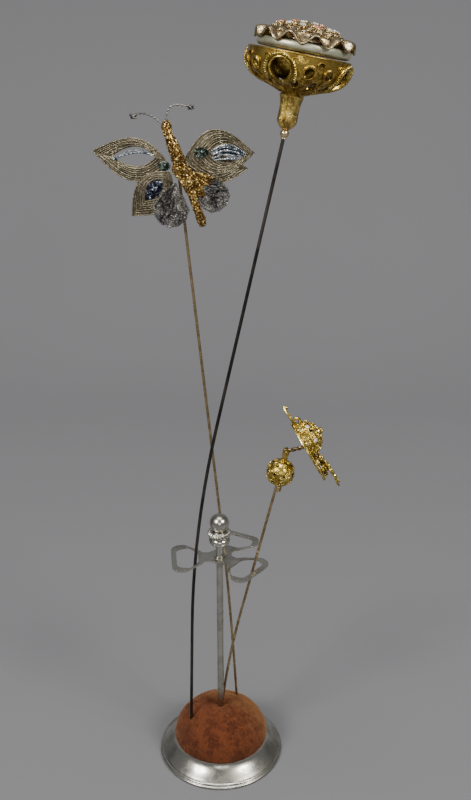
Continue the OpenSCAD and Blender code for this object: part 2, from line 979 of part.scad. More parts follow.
module twisted_arm() {
    color("darkgoldenrod")
        on_hinge() {
            difference() {
                union() {
                    translate([0, ear_gap / 2 - 0.12, 0])
                        rotate([90, 0, 0])
                            cylinder(h = ear_gap - 0.24, r = 1.05);
                    translate([0, 0, 0.7])
                        cylinder(h = 1.2, r = 0.5);
                }
                rotate([90, 0, 0])
                    cylinder(h = 5, r = rivet_r + fit, center = true);
            }
            translate([0, 0, 1.8])
                linear_extrude(height = arm_len - 1.8, twist = -700, slices = 16)
                    for (x = [-0.42, 0.42])
                        translate([x, 0])
                            circle(r = 0.48, $fn = 8);
        }
}

// Puts children on the plaque: +Z out of its face, -X to its top
module on_plaque() {
    translate(arm_end)
        rotate([0, plaque_turn, 0])
            rotate([-plaque_roll, 0, 0])
                children();
}

plate_t = 0.7;
boss_r = 7;
boss_h = 8.6;
boss_x = -3;
tail_z = 4.2;
plaque_seats = [
    [-8.6, 4.4, 0.9], [-9.4, -3.8, 0.9], [8.2, 5.2, 1.1], [7.4, -5, 1.1], [11.6, 1.4, 1.1],
    [10.4, -3.4, 0.9], [6.2, 8.6, 0.9], [4.8, -8.8, 0.9], [-5.2, 8.2, 0.9], [-4.6, -8.6, 0.9]
];

module plaque_plate() {
    color("gold")
        on_plaque()
            linear_extrude(plate_t)
                difference() {
                    polygon(leaf([-12, 0], [18.6, 0], 11, 11));
                    for (y = [-1, 1], x = [-7.4, 5.6, 9.8])
                        translate([x, y * (7.4 - abs(x) * 0.36)])
                            circle(r = 0.9, $fn = 24);
                }
}

module top_leaf() {
    color("khaki")
        on_plaque()
            translate([0, 0, plate_t])
                linear_extrude(1)
                    difference() {
                        polygon(leaf([-9.6, 0], [-20.8, 0], 3.6, 3.6));
                        polygon(leaf([-13.4, 0], [-17.4, 0], 0.9, 0.9));
                    }
}

module tail_leaf() {
    color("gold")
        on_plaque() {
            translate([0, 0, tail_z])
                linear_extrude(0.8)
                    polygon(leaf([9, -1], [22.8, -3], 4, 3));
            translate([11.5, -1.4, plate_t])
                cylinder(h = tail_z - plate_t, r = 1.2);
        }
}

module plaque_boss() {
    color("gold")
        on_plaque()
            translate([boss_x, 0, plate_t])
                difference() {
                    rotate_extrude()
                        polygon(concat(
                            [for (t = [0 : 10 : 90]) [boss_r * cos(t), 1.4 + (boss_h - 1.4) * sin(t)]],
                            [for (t = [90 : -10 : 0]) [(boss_r - 0.8) * cos(t), 1.4 + (boss_h - 2.2) * sin(t)]],
                            [[boss_r - 0.8, 0], [boss_r, 0]]
                        ));
                    for (i = [0 : 7])
                        rotate([0, 48, i * 45])
                            translate([0, 0, 3])
                                cylinder(h = 8, r = 0.9, $fn = 24);
                }
}

// Children at each stone's seat on the plaque and on its boss
module plaque_seated() {
    for (seat = plaque_seats)
        on_plaque()
            translate([seat[0], seat[1], plate_t + 0.4])
                children();
    on_plaque()
        translate([boss_x, 0, plate_t + boss_h])
            children();
    for (i = [0 : 5])
        on_plaque()
            translate([boss_x, 0, plate_t + 1.4])
                rotate([0, 62, i * 60 + 30])
                    translate([0, 0, 6.6])
                        children();
}

module plaque_cups() {
    color("darkgoldenrod")
        plaque_seated()
            cup_shape(0.95);
}

module plaque_stones() {
    color("white")
        plaque_seated()
            stone_shape(0.95);
}

base_dish();
base_weight();
base_cloth();
cushion_card();
cushion_filling();
cushion_velvet();
post();
post_washer();
post_nut();
pin_guide();
finial_stem();
finial_cup();
finial_gadroon();
finial_ball();
basket_shank();
basket_bead();
basket_calyx();
basket_bowl();
bowl_arches();
bowl_scrolls();
bowl_rim();
tie_rod();
disc_spacer();
cream_disc();
top_ruffle();
top_dome();
tie_nut();
stone_cups();
clear_stones();
coral_stones();
butterfly_shank();
wing_binding();
wing_spine();
body_head();
body_thorax();
body_abdomen();
bullion_rays();
antenna_left();
antenna_right();
forewing_left();
forewing_right();
hindwing_left();
hindwing_right();
tail_fan_left();
tail_fan_right();
forewing_tinsel();
hindwing_foil();
wing_eyes();
plaque_shank();
wrap_collar();
filigree_ball();
knuckle();
knuckle_rivet();
twisted_arm();
plaque_plate();
top_leaf();
tail_leaf();
plaque_boss();
plaque_cups();
plaque_stones();
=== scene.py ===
"""A hat pin holder with its velvet pincushion and the three old hat pins that stand in it.

The holder is a turned metal dish with a post, a three-looped guide and a small finial. In it stand
a pierced basket pin with a jewelled top, a butterfly pin of wound wire, and a plaque pin whose
jewelled plaque tilts on a knuckle. Shapes are drawn in millimetres in the frame of the part that
they belong to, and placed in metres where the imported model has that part.
"""

import json
import math
import random

import bmesh
import bpy
from mathutils import Euler, Matrix, Vector


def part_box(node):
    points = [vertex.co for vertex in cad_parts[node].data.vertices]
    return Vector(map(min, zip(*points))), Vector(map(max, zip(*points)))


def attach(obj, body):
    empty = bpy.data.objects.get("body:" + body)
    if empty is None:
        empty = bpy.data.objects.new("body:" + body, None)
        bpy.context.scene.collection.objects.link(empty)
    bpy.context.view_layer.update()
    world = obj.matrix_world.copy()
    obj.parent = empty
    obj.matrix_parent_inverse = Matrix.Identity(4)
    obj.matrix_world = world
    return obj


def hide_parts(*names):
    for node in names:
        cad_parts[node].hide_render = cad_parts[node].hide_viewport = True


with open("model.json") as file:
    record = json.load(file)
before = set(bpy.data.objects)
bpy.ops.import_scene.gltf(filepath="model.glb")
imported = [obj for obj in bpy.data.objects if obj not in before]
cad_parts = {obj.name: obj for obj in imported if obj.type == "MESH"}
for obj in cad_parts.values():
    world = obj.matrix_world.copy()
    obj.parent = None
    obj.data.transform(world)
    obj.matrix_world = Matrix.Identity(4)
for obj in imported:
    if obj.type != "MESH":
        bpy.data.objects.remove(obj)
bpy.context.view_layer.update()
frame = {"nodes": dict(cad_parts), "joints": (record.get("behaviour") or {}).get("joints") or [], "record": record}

MM = 0.001
TURN = 2 * math.pi


# ---- Node trees: one builder for finishes and for repeated shapes ----

class Socket:
    """One output of a node. Arithmetic on it adds Math nodes to its tree."""

    def __init__(self, nodes, link):
        self.nodes = nodes
        self.link = link

    def maths(self, operation, *values):
        return self.nodes.node(
            "ShaderNodeMath", {"operation": operation}, dict(enumerate(values)))

    def __add__(self, other):
        return self.maths("ADD", self, other)

    def __sub__(self, other):
        return self.maths("SUBTRACT", self, other)

    def __rsub__(self, other):
        return self.maths("SUBTRACT", other, self)

    def __mul__(self, other):
        return self.maths("MULTIPLY", self, other)

    def __truediv__(self, other):
        return self.maths("DIVIDE", self, other)

    def __rtruediv__(self, other):
        return self.maths("DIVIDE", other, self)

    def __pow__(self, other):
        return self.maths("POWER", self, other)

    def __neg__(self):
        return self.maths("MULTIPLY", self, -1.0)

    __radd__ = __add__
    __rmul__ = __mul__

    def sine(self):
        return self.maths("SINE", self)

    def cosine(self):
        return self.maths("COSINE", self)

    def limited(self, low=0.0, high=1.0):
        return self.maths("MINIMUM", self.maths("MAXIMUM", self, low), high)


class Nodes:
    """A node tree that is built one node at a time."""

    def __init__(self, tree):
        self.tree = tree

    def node(self, kind, settings=None, inputs=None, out=0):
        """Adds a node: its settings first, then the values and links of its sockets."""
        made = self.tree.nodes.new(kind)
        for name, value in (settings or {}).items():
            if name == "stops":
                self.set_stops(made.color_ramp, value)
            else:
                setattr(made, name, value)
        for key, value in (inputs or {}).items():
            socket = self.find(made.inputs, key)
            for one in value if isinstance(value, list) else [value]:
                if isinstance(one, Socket):
                    self.tree.links.new(one.link, socket)
                else:
                    socket.default_value = one
        return Socket(self, self.find(made.outputs, out))

    @staticmethod
    def find(sockets, key):
        if isinstance(key, int):
            return sockets[key]
        return next(s for s in sockets if s.name == key and s.enabled)

    @staticmethod
    def set_stops(ramp, stops):
        while len(ramp.elements) < len(stops):
            ramp.elements.new(1.0)
        for element, (place, colour) in zip(ramp.elements, stops):
            element.position = place
            element.color = (*colour, 1.0)

    def vector(self, x, y, z):
        return self.node("ShaderNodeCombineXYZ", inputs={"X": x, "Y": y, "Z": z})

    def vectors(self, operation, first, second):
        if isinstance(second, (int, float)) or (
                isinstance(second, Socket) and second.link.type == "VALUE"):
            return self.node("ShaderNodeVectorMath", {"operation": operation},
                             {"Vector": first, "Scale": second})
        return self.node("ShaderNodeVectorMath", {"operation": operation}, {0: first, 1: second})


# ---- Finishes ----

class Finish(Nodes):
    """A finish for one of the record's material slots: one shader and what varies over it."""

    def __init__(self, slot, name=None, **fixed):
        self.name = name or slot
        self.material = bpy.data.materials.new(self.name)
        self.material.use_nodes = True
        super().__init__(self.material.node_tree)
        self.tree.nodes.clear()
        self.shader = self.tree.nodes.new("ShaderNodeBsdfPrincipled")
        output = self.tree.nodes.new("ShaderNodeOutputMaterial")
        self.tree.links.new(self.shader.outputs["BSDF"], output.inputs["Surface"])
        self.place = self.node("ShaderNodeTexCoord", out="Object")
        self.set(**fixed)

    def set(self, **values):
        """Sets the shader's sockets: colours and numbers, or what varies them."""
        for name, value in values.items():
            socket = self.shader.inputs[name.replace("_", " ").title().replace("Ior", "IOR")]
            if isinstance(value, Socket):
                self.tree.links.new(value.link, socket)
            else:
                socket.default_value = (*value, 1.0) if isinstance(value, tuple) else value
        return self

    def noise(self, size, detail=3.0, roughness=0.55, stretch=(1.0, 1.0, 1.0)):
        """Cloudy noise whose blotches are about size millimetres across."""
        place = self.vectors("MULTIPLY", self.place, stretch)
        return self.node(
            "ShaderNodeTexNoise", {"noise_dimensions": "3D"},
            {"Vector": place, "Scale": 1 / (size * MM), "Detail": detail, "Roughness": roughness},
            "Fac")

    def cells(self, size, feature="F1", out="Distance"):
        """Distance from the middle of cells that are about size millimetres across."""
        return self.node("ShaderNodeTexVoronoi", {"feature": feature},
                         {"Vector": self.place, "Scale": 1 / (size * MM)}, out)

    def mix(self, amount, first, second, way="MIX"):
        return self.node("ShaderNodeMix", {"data_type": "RGBA", "blend_type": way}, {
            "Factor": amount, "A": self.full(first), "B": self.full(second)}, "Result")

    @staticmethod
    def full(colour):
        return (*colour, 1.0) if isinstance(colour, tuple) else colour

    def ramp(self, amount, *stops):
        return self.node("ShaderNodeValToRGB", {"stops": stops}, {"Fac": amount}, "Color")

    def step(self, amount, low, high):
        """0 below low and 1 above high, smoothly between."""
        return self.node("ShaderNodeMapRange", {"interpolation_type": "SMOOTHSTEP"}, {
            "Value": amount, "From Min": low, "From Max": high}, "Result")

    def bump(self, height, depth, strength=1.0):
        """A bump of about depth millimetres."""
        return self.node("ShaderNodeBump", inputs={
            "Height": height, "Distance": depth * MM, "Strength": strength}, out="Normal")

    def along(self):
        """The length along a wire, in metres, which its tree stores on it."""
        return self.node("ShaderNodeAttribute", {"attribute_name": "along"}, out="Fac")


def worn_silver(slot="plate_metal", shade=1.0):
    """Soft nickel-silver with rubbed bright places, dull clouds and fine turning lines."""
    f = Finish(slot, metallic=1.0, specular_ior_level=0.5)
    clouds = f.noise(9, 5, 0.6)
    fine = f.noise(0.7, 4, 0.7)
    lines = f.noise(1.1, 3, 0.8, stretch=(0.25, 0.25, 5.0))
    dull = f.step(clouds * 0.8 + fine * 0.3, 0.45, 0.72)
    colour = f.mix(dull, tuple(v * shade for v in (0.60, 0.585, 0.52)),
                   tuple(v * shade for v in (0.34, 0.325, 0.27)))
    return f.set(base_color=colour, roughness=0.14 + dull * 0.17 + lines * 0.09,
                 normal=f.bump(lines * 0.6 + fine * 0.4, 0.012, 0.3))


def old_gilt(slot, bright, deep, dark, rough=0.3, grain=0.5, depth=0.08, name=None):
    """Gilt brass: bright where it is rubbed, deep in its clouds and dark in its pits."""
    f = Finish(slot, name, metallic=1.0, specular_ior_level=0.5)
    clouds = f.noise(3.2, 4, 0.6)
    pits = f.noise(grain, 3, 0.6)
    worn = f.step(clouds, 0.35, 0.68)
    soot = f.step(pits * 0.7 + clouds * 0.3, 0.56, 0.42)
    colour = f.mix(soot * 0.75, f.mix(worn, deep, bright), dark)
    return f.set(base_color=colour, roughness=rough + soot * 0.25 - worn * 0.06,
                 normal=f.bump(pits, depth, 0.55))


def stippled_gilt():
    """The calyx's gilt, punched all over with small round dots."""
    f = Finish("gilt", "stippled_gilt", metallic=1.0)
    clouds = f.noise(3, 4, 0.6)
    dots = f.step(f.cells(0.75), 0.45, 0.1)
    lit = f.mix(f.step(clouds, 0.35, 0.65), (0.50, 0.33, 0.07), (0.83, 0.62, 0.17))
    colour = f.mix(dots * 0.6, f.mix(f.step(clouds, 0.62, 0.4) * 0.5, lit, (0.16, 0.09, 0.03)),
                   (0.90, 0.72, 0.26))
    return f.set(base_color=colour, roughness=0.36 - dots * 0.1,
                 normal=f.bump(dots, 0.14, 0.8))


def cream_satin():
    """The disc's pale greenish cream satin metal."""
    f = Finish("cream", metallic=0.75)
    clouds = f.noise(6, 4, 0.6)
    fine = f.noise(0.5, 3, 0.6)
    colour = f.mix(f.step(clouds, 0.35, 0.7), (0.60, 0.60, 0.43), (0.44, 0.43, 0.29))
    return f.set(base_color=colour, roughness=0.33 + fine * 0.14, normal=f.bump(fine, 0.02, 0.4))


def dark_metal(slot, colour, worn, rough):
    """Pin wire or iron, dark with rubbed lengths and specks of rust."""
    f = Finish(slot, metallic=1.0)
    clouds = f.noise(7, 4, 0.65, stretch=(1, 1, 0.35))
    specks = f.noise(0.6, 2, 0.5)
    shade = f.mix(f.step(clouds, 0.42, 0.68), colour, worn)
    return f.set(base_color=f.mix(f.step(specks, 0.6, 0.72) * 0.6, shade, (0.10, 0.05, 0.03)),
                 roughness=rough + specks * 0.2, normal=f.bump(specks, 0.02, 0.4))


def wound_wire(slot, bright, deep, dark, twist=0.55, name=None):
    """Fine wire with a thinner wire wound round it, in bright and tarnished lengths."""
    f = Finish(slot, name, metallic=1.0)
    along = f.along()
    turns = (along * (TURN / (twist * MM))).sine() * 0.5 + 0.5
    clouds = f.noise(5, 4, 0.65)
    patches = f.noise(1.3, 3, 0.6)
    worn = f.step(patches * 0.6 + clouds * 0.4, 0.38, 0.66)
    colour = f.mix((1 - turns) * 0.55, f.mix(worn, deep, bright), dark)
    return f.set(base_color=colour, roughness=0.34 - worn * 0.1 + (1 - turns) * 0.2,
                 normal=f.bump(turns, 0.1, 0.6))


def cut_bullion():
    """Orange-gold cut bullion, its sparkle painted into its colour as bright specks: painted glints."""
    f = Finish("bullion", metallic=1.0)
    sparks = f.noise(0.8, 2, 0.5)
    clouds = f.noise(4, 3, 0.6)
    # sparks: small bright specks painted into the colour: painted glints.
    lit = f.mix(f.step(sparks, 0.46, 0.6), (0.24, 0.135, 0.03), (0.92, 0.70, 0.28))
    return f.set(base_color=f.mix(f.step(clouds, 0.62, 0.4) * 0.7, lit, (0.10, 0.05, 0.015)),
                 roughness=0.2 + clouds * 0.2)


def velvet_cloth():
    """Rust velvet, golden towards the back right where sheen is painted into its colour, and rubbed dark in the middle.
    """
    f = Finish("velvet", sheen_weight=0.55, sheen_roughness=0.45, sheen_tint=(0.95, 0.55, 0.32),
               specular_ior_level=0.15)
    split = f.node("ShaderNodeSeparateXYZ", inputs={"Vector": f.place}, out="X")
    across = split * (1 / (22 * MM))
    back = Socket(f, split.link.node.outputs["Y"]) * (1 / (22 * MM))
    clouds = f.noise(6.5, 4, 0.6)
    mottle = f.noise(1.8, 3, 0.65)
    hairs = f.noise(0.35, 2, 0.6)
    # gold: lighter and golden towards the back right, painted sheen, broken up by clouds of the velvet's own tone.
    gold = f.step(across * 0.5 + back * 0.8 + clouds * 1.3 + mottle * 0.5, 0.75, 1.6)
    dark = f.step(clouds * 0.7 + mottle * 0.5, 0.66, 0.48)
    rust = f.mix(dark * 0.9, (0.205, 0.062, 0.024), (0.072, 0.020, 0.010))
    colour = f.mix(gold * 0.85, rust, (0.33, 0.16, 0.055))
    return f.set(base_color=f.mix(hairs * 0.5, colour, (0.11, 0.03, 0.012)),
                 roughness=0.85 + hairs * 0.15, normal=f.bump(mottle * 0.4 + hairs * 0.6, 0.25, 0.6))


def plain_cloth(slot, colour, shade, size, depth, name=None):
    """Baize, card or wadding: a matt woven or felted surface."""
    f = Finish(slot, name, specular_ior_level=0.2)
    fine = f.noise(size, 4, 0.7)
    return f.set(base_color=f.mix(fine, colour, shade), roughness=0.85 + fine * 0.12,
                 normal=f.bump(fine, depth, 0.7))


def cut_paste(slot, colour, deep):
    """A foiled paste stone: glassy, with painted reflections that make it bright on some facets and deep on others."""
    f = Finish(slot, metallic=0.0, transmission_weight=0.25, ior=1.6, specular_ior_level=0.9)
    # Bright and deep patches painted into the stone's colour: painted reflections.
    painted_facet_glints = f.noise(0.9, 1, 0.5)
    return f.set(base_color=f.mix(f.step(painted_facet_glints, 0.4, 0.6), deep, colour), roughness=0.06 + painted_facet_glints * 0.06,
                 coat_weight=0.6)


def shimmering_foil(slot, first, second, third, size=2.4):
    """Thin iridescent foil, crumpled into small facets; its shimmer is painted in as dark and bright patches: painted
    reflections.
    """
    f = Finish(slot, metallic=0.85, specular_ior_level=0.7)
    crumple = f.cells(size)
    # Dark to bright patches painted into the foil's colour: painted reflections.
    painted_shimmer = f.noise(size * 1.6, 2, 0.5)
    colour = f.ramp(painted_shimmer, (0.38, first), (0.54, second), (0.68, third))
    return f.set(base_color=colour, roughness=0.12 + crumple * 0.25, normal=f.bump(crumple, 0.5, 0.8))


def make_finishes():
    made = [
        worn_silver(),
        dark_metal("lead_grey", (0.16, 0.16, 0.17), (0.26, 0.26, 0.27), 0.5),
        plain_cloth("baize", (0.05, 0.10, 0.06), (0.03, 0.06, 0.04), 0.5, 0.1),
        plain_cloth("card", (0.48, 0.40, 0.28), (0.38, 0.31, 0.21), 1.5, 0.04),
        plain_cloth("filling", (0.55, 0.47, 0.33), (0.42, 0.34, 0.22), 0.8, 0.3),
        velvet_cloth(),
        dark_metal("iron", (0.20, 0.19, 0.18), (0.34, 0.33, 0.31), 0.4),
        old_gilt("brass_dull", (0.52, 0.41, 0.22), (0.34, 0.25, 0.13), (0.12, 0.08, 0.05), 0.36, 0.6, 0.03),
        dark_metal("blued_steel", (0.03, 0.028, 0.026), (0.085, 0.075, 0.065), 0.38),
        old_gilt("pale_gilt", (0.88, 0.74, 0.44), (0.66, 0.50, 0.24), (0.30, 0.20, 0.09), 0.24, 0.8, 0.03),
        old_gilt("gilt", (0.74, 0.52, 0.12), (0.40, 0.26, 0.045), (0.09, 0.05, 0.018), 0.3, 0.7, 0.06),
        stippled_gilt(),
        # A near-black copy of the gilt for the inside of the bowl: painted shade.
        old_gilt("gilt", (0.13, 0.10, 0.06), (0.07, 0.05, 0.03), (0.03, 0.02, 0.015), 0.55, 0.7, 0.05,
                 name="bowl_inside"),
        cream_satin(),
        old_gilt("rose_gilt", (0.84, 0.71, 0.44), (0.42, 0.31, 0.17), (0.12, 0.08, 0.04), 0.24, 0.9, 0.05),
        cut_paste("clear_paste", (0.93, 0.94, 0.95), (0.42, 0.44, 0.47)),
        cut_paste("coral_paste", (0.86, 0.36, 0.27), (0.52, 0.13, 0.10)),
        old_gilt("brown_brass", (0.60, 0.46, 0.24), (0.40, 0.29, 0.14), (0.13, 0.09, 0.05), 0.34, 0.6, 0.05),
        cut_bullion(),
        dark_metal("dark_wire", (0.10, 0.095, 0.09), (0.42, 0.40, 0.36), 0.3),
        # A near-black sheet behind the wing wires: painted shade in the gaps between rows.
        plain_cloth("dark_wire", (0.035, 0.031, 0.026), (0.07, 0.062, 0.05), 0.5, 0.15, name="wing_backing"),
        wound_wire("wing_wire", (0.66, 0.58, 0.40), (0.23, 0.195, 0.125), (0.04, 0.034, 0.026)),
        wound_wire("wing_wire", (0.98, 0.90, 0.66), (0.62, 0.53, 0.31), (0.16, 0.12, 0.06),
                   name="wing_wire_bright"),
        wound_wire("wing_wire", (0.42, 0.38, 0.32), (0.17, 0.155, 0.14), (0.035, 0.032, 0.03),
                   name="wing_wire_grey"),
        shimmering_foil("tinsel", (0.10, 0.12, 0.15), (0.40, 0.44, 0.48), (0.90, 0.91, 0.92), 1.0),
        shimmering_foil("blue_foil", (0.015, 0.017, 0.03), (0.045, 0.05, 0.085), (0.50, 0.53, 0.60), 1.2),
        shimmering_foil("green_foil", (0.015, 0.022, 0.02), (0.045, 0.07, 0.055), (0.34, 0.40, 0.34), 1.3),
        old_gilt("bright_gilt", (1.0, 0.80, 0.24), (0.62, 0.44, 0.075), (0.12, 0.075, 0.02), 0.2, 0.6, 0.05),
    ]
    return {f.name: f.material for f in made}


finishes = make_finishes()
look_names = {material.name: look for look, material in finishes.items()}
node_slots = {part["node"]: part["material_slot"] for part in frame["record"]["subparts"]}


# ---- Drawing shapes in millimetres ----

class Shape:
    """A mesh being drawn: its points, and its faces with the number of their finish."""

    def __init__(self):
        self.points = []
        self.faces = []
        self.kinds = []
        self.edges = []

    def add(self, points, faces, kind=0):
        start = len(self.points)
        self.points += [Vector(p) for p in points]
        self.faces += [[start + i for i in face] for face in faces]
        self.kinds += [kind] * len(faces)
        return self

    def grid(self, rows, kind=0, ring=True, loop=False):
        """Rows of points joined into a sheet. Ring closes each row, loop joins last to first."""
        count = len(rows[0])
        faces = []
        for i in range(len(rows) if loop else len(rows) - 1):
            for j in range(count if ring else count - 1):
                a, b = i * count, (i + 1) % len(rows) * count
                k = (j + 1) % count
                faces.append([a + j, a + k, b + k, b + j])
        return self.add([p for row in rows for p in row], faces, kind)

    def lathe(self, profile, steps=96, kind=0, loop=False, place=None):
        """Turns a profile of (radius, height) points round Z."""
        rows = [[Vector((r * math.cos(TURN * j / steps), r * math.sin(TURN * j / steps), z))
                 for j in range(steps)] for r, z in profile]
        if place:
            rows = [[place @ p for p in row] for row in rows]
        return self.grid(rows, kind, loop=loop)

    def tube(self, path, radius, sides=8, kind=0, closed=False):
        """A round wire along a path. Radius is one number or one for each point."""
        path = [Vector(p) for p in path]
        count = len(path)
        radii = radius if isinstance(radius, list) else [radius] * count
        ahead = [path[(i + 1) % count if closed else min(i + 1, count - 1)]
                 - path[i - 1 if closed else max(i - 1, 0)] for i in range(count)]
        side = ahead[0].orthogonal().normalized()
        rows = []
        for point, run, r in zip(path, ahead, radii):
            run = run.normalized()
            side = (side - run * side.dot(run)).normalized()
            up = run.cross(side)
            rows.append([point + (side * math.cos(TURN * j / sides) + up * math.sin(TURN * j / sides)) * r
                         for j in range(sides)])
        start = len(self.points)
        self.grid(rows, kind, loop=closed)
        if not closed:
            last = start + (count - 1) * sides
            self.faces += [[start + j for j in range(sides)], [last + j for j in range(sides)]]
            self.kinds += [kind, kind]
        return self

    def ball(self, at, radius, steps=14, kind=0, squash=1.0):
        """A turned ball, flattened by squash along Z."""
        profile = [(radius * math.sin(math.pi * i / steps), -radius * squash * math.cos(math.pi * i / steps))
                   for i in range(steps + 1)]
        return self.lathe(profile, steps * 2, kind, place=Matrix.Translation(at))

    def path(self, points, closed=False):
        """A path of edges, for a tree that grows something along it."""
        start = len(self.points)
        self.points += [Vector(p) for p in points]
        self.edges += [(start + i, start + i + 1) for i in range(len(points) - 1)]
        if closed:
            self.edges.append((start + len(points) - 1, start))
        return self

    def join(self, other, place=Matrix()):
        start = len(self.points)
        self.points += [place @ p for p in other.points]
        self.faces += [[start + i for i in face] for face in other.faces]
        self.kinds += other.kinds
        self.edges += [(start + a, start + b) for a, b in other.edges]
        return self

    def mesh(self, name, place, weld=True):
        mesh = bpy.data.meshes.new(name)
        mesh.from_pydata([place @ p for p in self.points], self.edges, self.faces)
        if not self.faces:
            return mesh
        mesh.polygons.foreach_set("material_index", self.kinds)
        work = bmesh.new()
        work.from_mesh(mesh)
        if weld:
            bmesh.ops.remove_doubles(work, verts=work.verts, dist=0.002 * MM)
            bmesh.ops.recalc_face_normals(work, faces=work.faces)
        for face in work.faces:
            face.smooth = True
        work.to_mesh(mesh)
        work.free()
        return mesh


def add_object(name, mesh, looks=()):
    """A mesh in the scene, with its finishes."""
    made = bpy.data.objects.new(name, mesh)
    bpy.context.scene.collection.objects.link(made)
    if looks:
        mesh.materials.clear()
        for look in looks:
            mesh.materials.append(finishes[look])
    return made


def sharpen(made, angle=40):
    """Keeps edges that turn by more than angle crisp, and the rest smooth."""
    work = bmesh.new()
    work.from_mesh(made.data)
    for edge in work.edges:
        edge.smooth = len(edge.link_faces) == 2 and edge.calc_face_angle(0) < math.radians(angle)
    for face in work.faces:
        face.smooth = True
    work.to_mesh(made.data)
    work.free()
    return made


def settle(made):
    """Turns an object's live modifiers into plain mesh."""
    graph = bpy.context.evaluated_depsgraph_get()
    graph.update()
    mesh = bpy.data.meshes.new_from_object(made.evaluated_get(graph), depsgraph=graph)
    made.modifiers.clear()
    made.data = mesh
    return made


def give(made, body, slot, *nodes):
    """Puts a piece on its body and hides the nodes it stands for. The slot is not used."""
    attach(made, body)
    if nodes:
        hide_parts(*nodes)
    return made


def soften(node, look=None, edge=0.12, angle=35, name=None):
    """A smooth copy of a CAD node: triangles merged, flats cleaned and edges rounded."""
    mesh = frame["nodes"][node].data.copy()
    made = add_object(name or node + "_finished", mesh, [look or node_slots[node]])
    work = bmesh.new()
    work.from_mesh(mesh)
    bmesh.ops.remove_doubles(work, verts=work.verts, dist=0.001 * MM)
    bmesh.ops.dissolve_limit(work, angle_limit=math.radians(0.5), verts=work.verts, edges=work.edges)
    for face in work.faces:
        face.material_index = 0
        face.smooth = True
    work.to_mesh(mesh)
    work.free()
    if edge:
        bevel = made.modifiers.new("edge", "BEVEL")
        bevel.width = edge * MM
        bevel.segments = 2
        bevel.limit_method = "ANGLE"
        bevel.angle_limit = math.radians(angle)
        bevel.use_clamp_overlap = True
        settle(made)
    return sharpen(made, 60)


# ---- Trees that grow repeated shapes ----

class Growth(Nodes):
    """A geometry tree with named inputs, which ends in plain mesh with a finish."""

    def __init__(self, name, **sizes):
        super().__init__(bpy.data.node_groups.new(name, "GeometryNodeTree"))
        kinds = {float: "NodeSocketFloat", int: "NodeSocketInt"}
        face = self.tree.interface
        face.new_socket("Geometry", in_out="INPUT", socket_type="NodeSocketGeometry")
        for label, start in sizes.items():
            made = face.new_socket(label.replace("_", " ").capitalize(), in_out="INPUT",
                                   socket_type=kinds[type(start)])
            made.default_value = start
        face.new_socket("Finish", in_out="INPUT", socket_type="NodeSocketMaterial")
        face.new_socket("Geometry", in_out="OUTPUT", socket_type="NodeSocketGeometry")
        self.start = self.tree.nodes.new("NodeGroupInput")
        self.end = self.tree.nodes.new("NodeGroupOutput")

    def given(self, label):
        return Socket(self, self.start.outputs[label])

    def curve(self, spacing=None):
        """The given edges as a curve, with a point every spacing where that is given."""
        curve = self.node("GeometryNodeMeshToCurve", inputs={"Mesh": self.given("Geometry")})
        if spacing is None:
            return curve
        return self.node("GeometryNodeResampleCurve", {"mode": "LENGTH"},
                         {"Curve": curve, "Length": spacing})

    def chance(self, low, high, seed):
        return self.node("FunctionNodeRandomValue", {"data_type": "FLOAT"},
                         {"Min": low, "Max": high, "Seed": seed}, "Value")

    def tumble(self, seed):
        """A random turn."""
        angles = self.node("FunctionNodeRandomValue", {"data_type": "FLOAT_VECTOR"},
                           {"Min": (0.0, 0.0, 0.0), "Max": (TURN, TURN, TURN), "Seed": seed}, "Value")
        return self.node("FunctionNodeEulerToRotation", inputs={"Euler": angles})

    def sweep(self, curve, radius, sides=6):
        """A round wire along a curve, which keeps the length along it."""
        length = self.node("GeometryNodeSplineParameter", out="Length")
        marked = self.node("GeometryNodeStoreNamedAttribute", {"data_type": "FLOAT", "domain": "POINT"}, {
            "Geometry": curve, "Name": "along", "Value": length})
        section = self.node("GeometryNodeCurvePrimitiveCircle", {"mode": "RADIUS"},
                            {"Resolution": sides, "Radius": radius})
        return self.node("GeometryNodeCurveToMesh", inputs={
            "Curve": marked, "Profile Curve": section, "Fill Caps": True})

    def scatter(self, points, shape, rotation, scale):
        return self.node("GeometryNodeInstanceOnPoints", inputs={
            "Points": points, "Instance": shape, "Rotation": rotation, "Scale": scale})

    def join(self, *parts):
        return self.node("GeometryNodeJoinGeometry", inputs={"Geometry": list(parts)})

    def finish(self, geometry, smooth=True):
        plain = self.node("GeometryNodeRealizeInstances", inputs={"Geometry": geometry})
        shaded = self.node("GeometryNodeSetShadeSmooth", inputs={
            "Geometry": plain, "Shade Smooth": smooth})
        done = self.node("GeometryNodeSetMaterial", inputs={
            "Geometry": shaded, "Material": self.given("Finish")})
        self.tree.links.new(done.link, self.end.inputs[0])
        return self.tree


def wire_tree():
    """A round wire along each path."""
    g = Growth("wire", radius=0.0003, sides=6)
    return g.finish(g.sweep(g.curve(), g.given("Radius"), g.given("Sides")))


def bead_tree():
    """A row of small beads along each path."""
    g = Growth("bead row", spacing=0.001, bead=0.0004)
    bead = g.node("GeometryNodeMeshUVSphere", inputs={"Segments": 8, "Rings": 5, "Radius": 1.0})
    return g.finish(g.scatter(g.curve(g.given("Spacing")), bead, (0.0, 0.0, 0.0),
                              g.vector(g.given("Bead"), g.given("Bead"), g.given("Bead"))))


def coil_tree():
    """A wire wound round each path."""
    g = Growth("coil", coil=0.0006, pitch=0.0005, wire=0.0002)
    curve = g.curve(g.given("Pitch") * 0.125)
    angle = g.node("GeometryNodeSplineParameter", out="Length") * TURN / g.given("Pitch")
    normal = g.node("GeometryNodeInputNormal")
    side = g.vectors("CROSS_PRODUCT", normal, g.node("GeometryNodeInputTangent"))
    out = g.vectors("ADD", g.vectors("SCALE", normal, angle.cosine() * g.given("Coil")),
                    g.vectors("SCALE", side, angle.sine() * g.given("Coil")))
    wound = g.node("GeometryNodeSetPosition", inputs={"Geometry": curve, "Offset": out})
    return g.finish(g.sweep(wound, g.given("Wire"), 5))


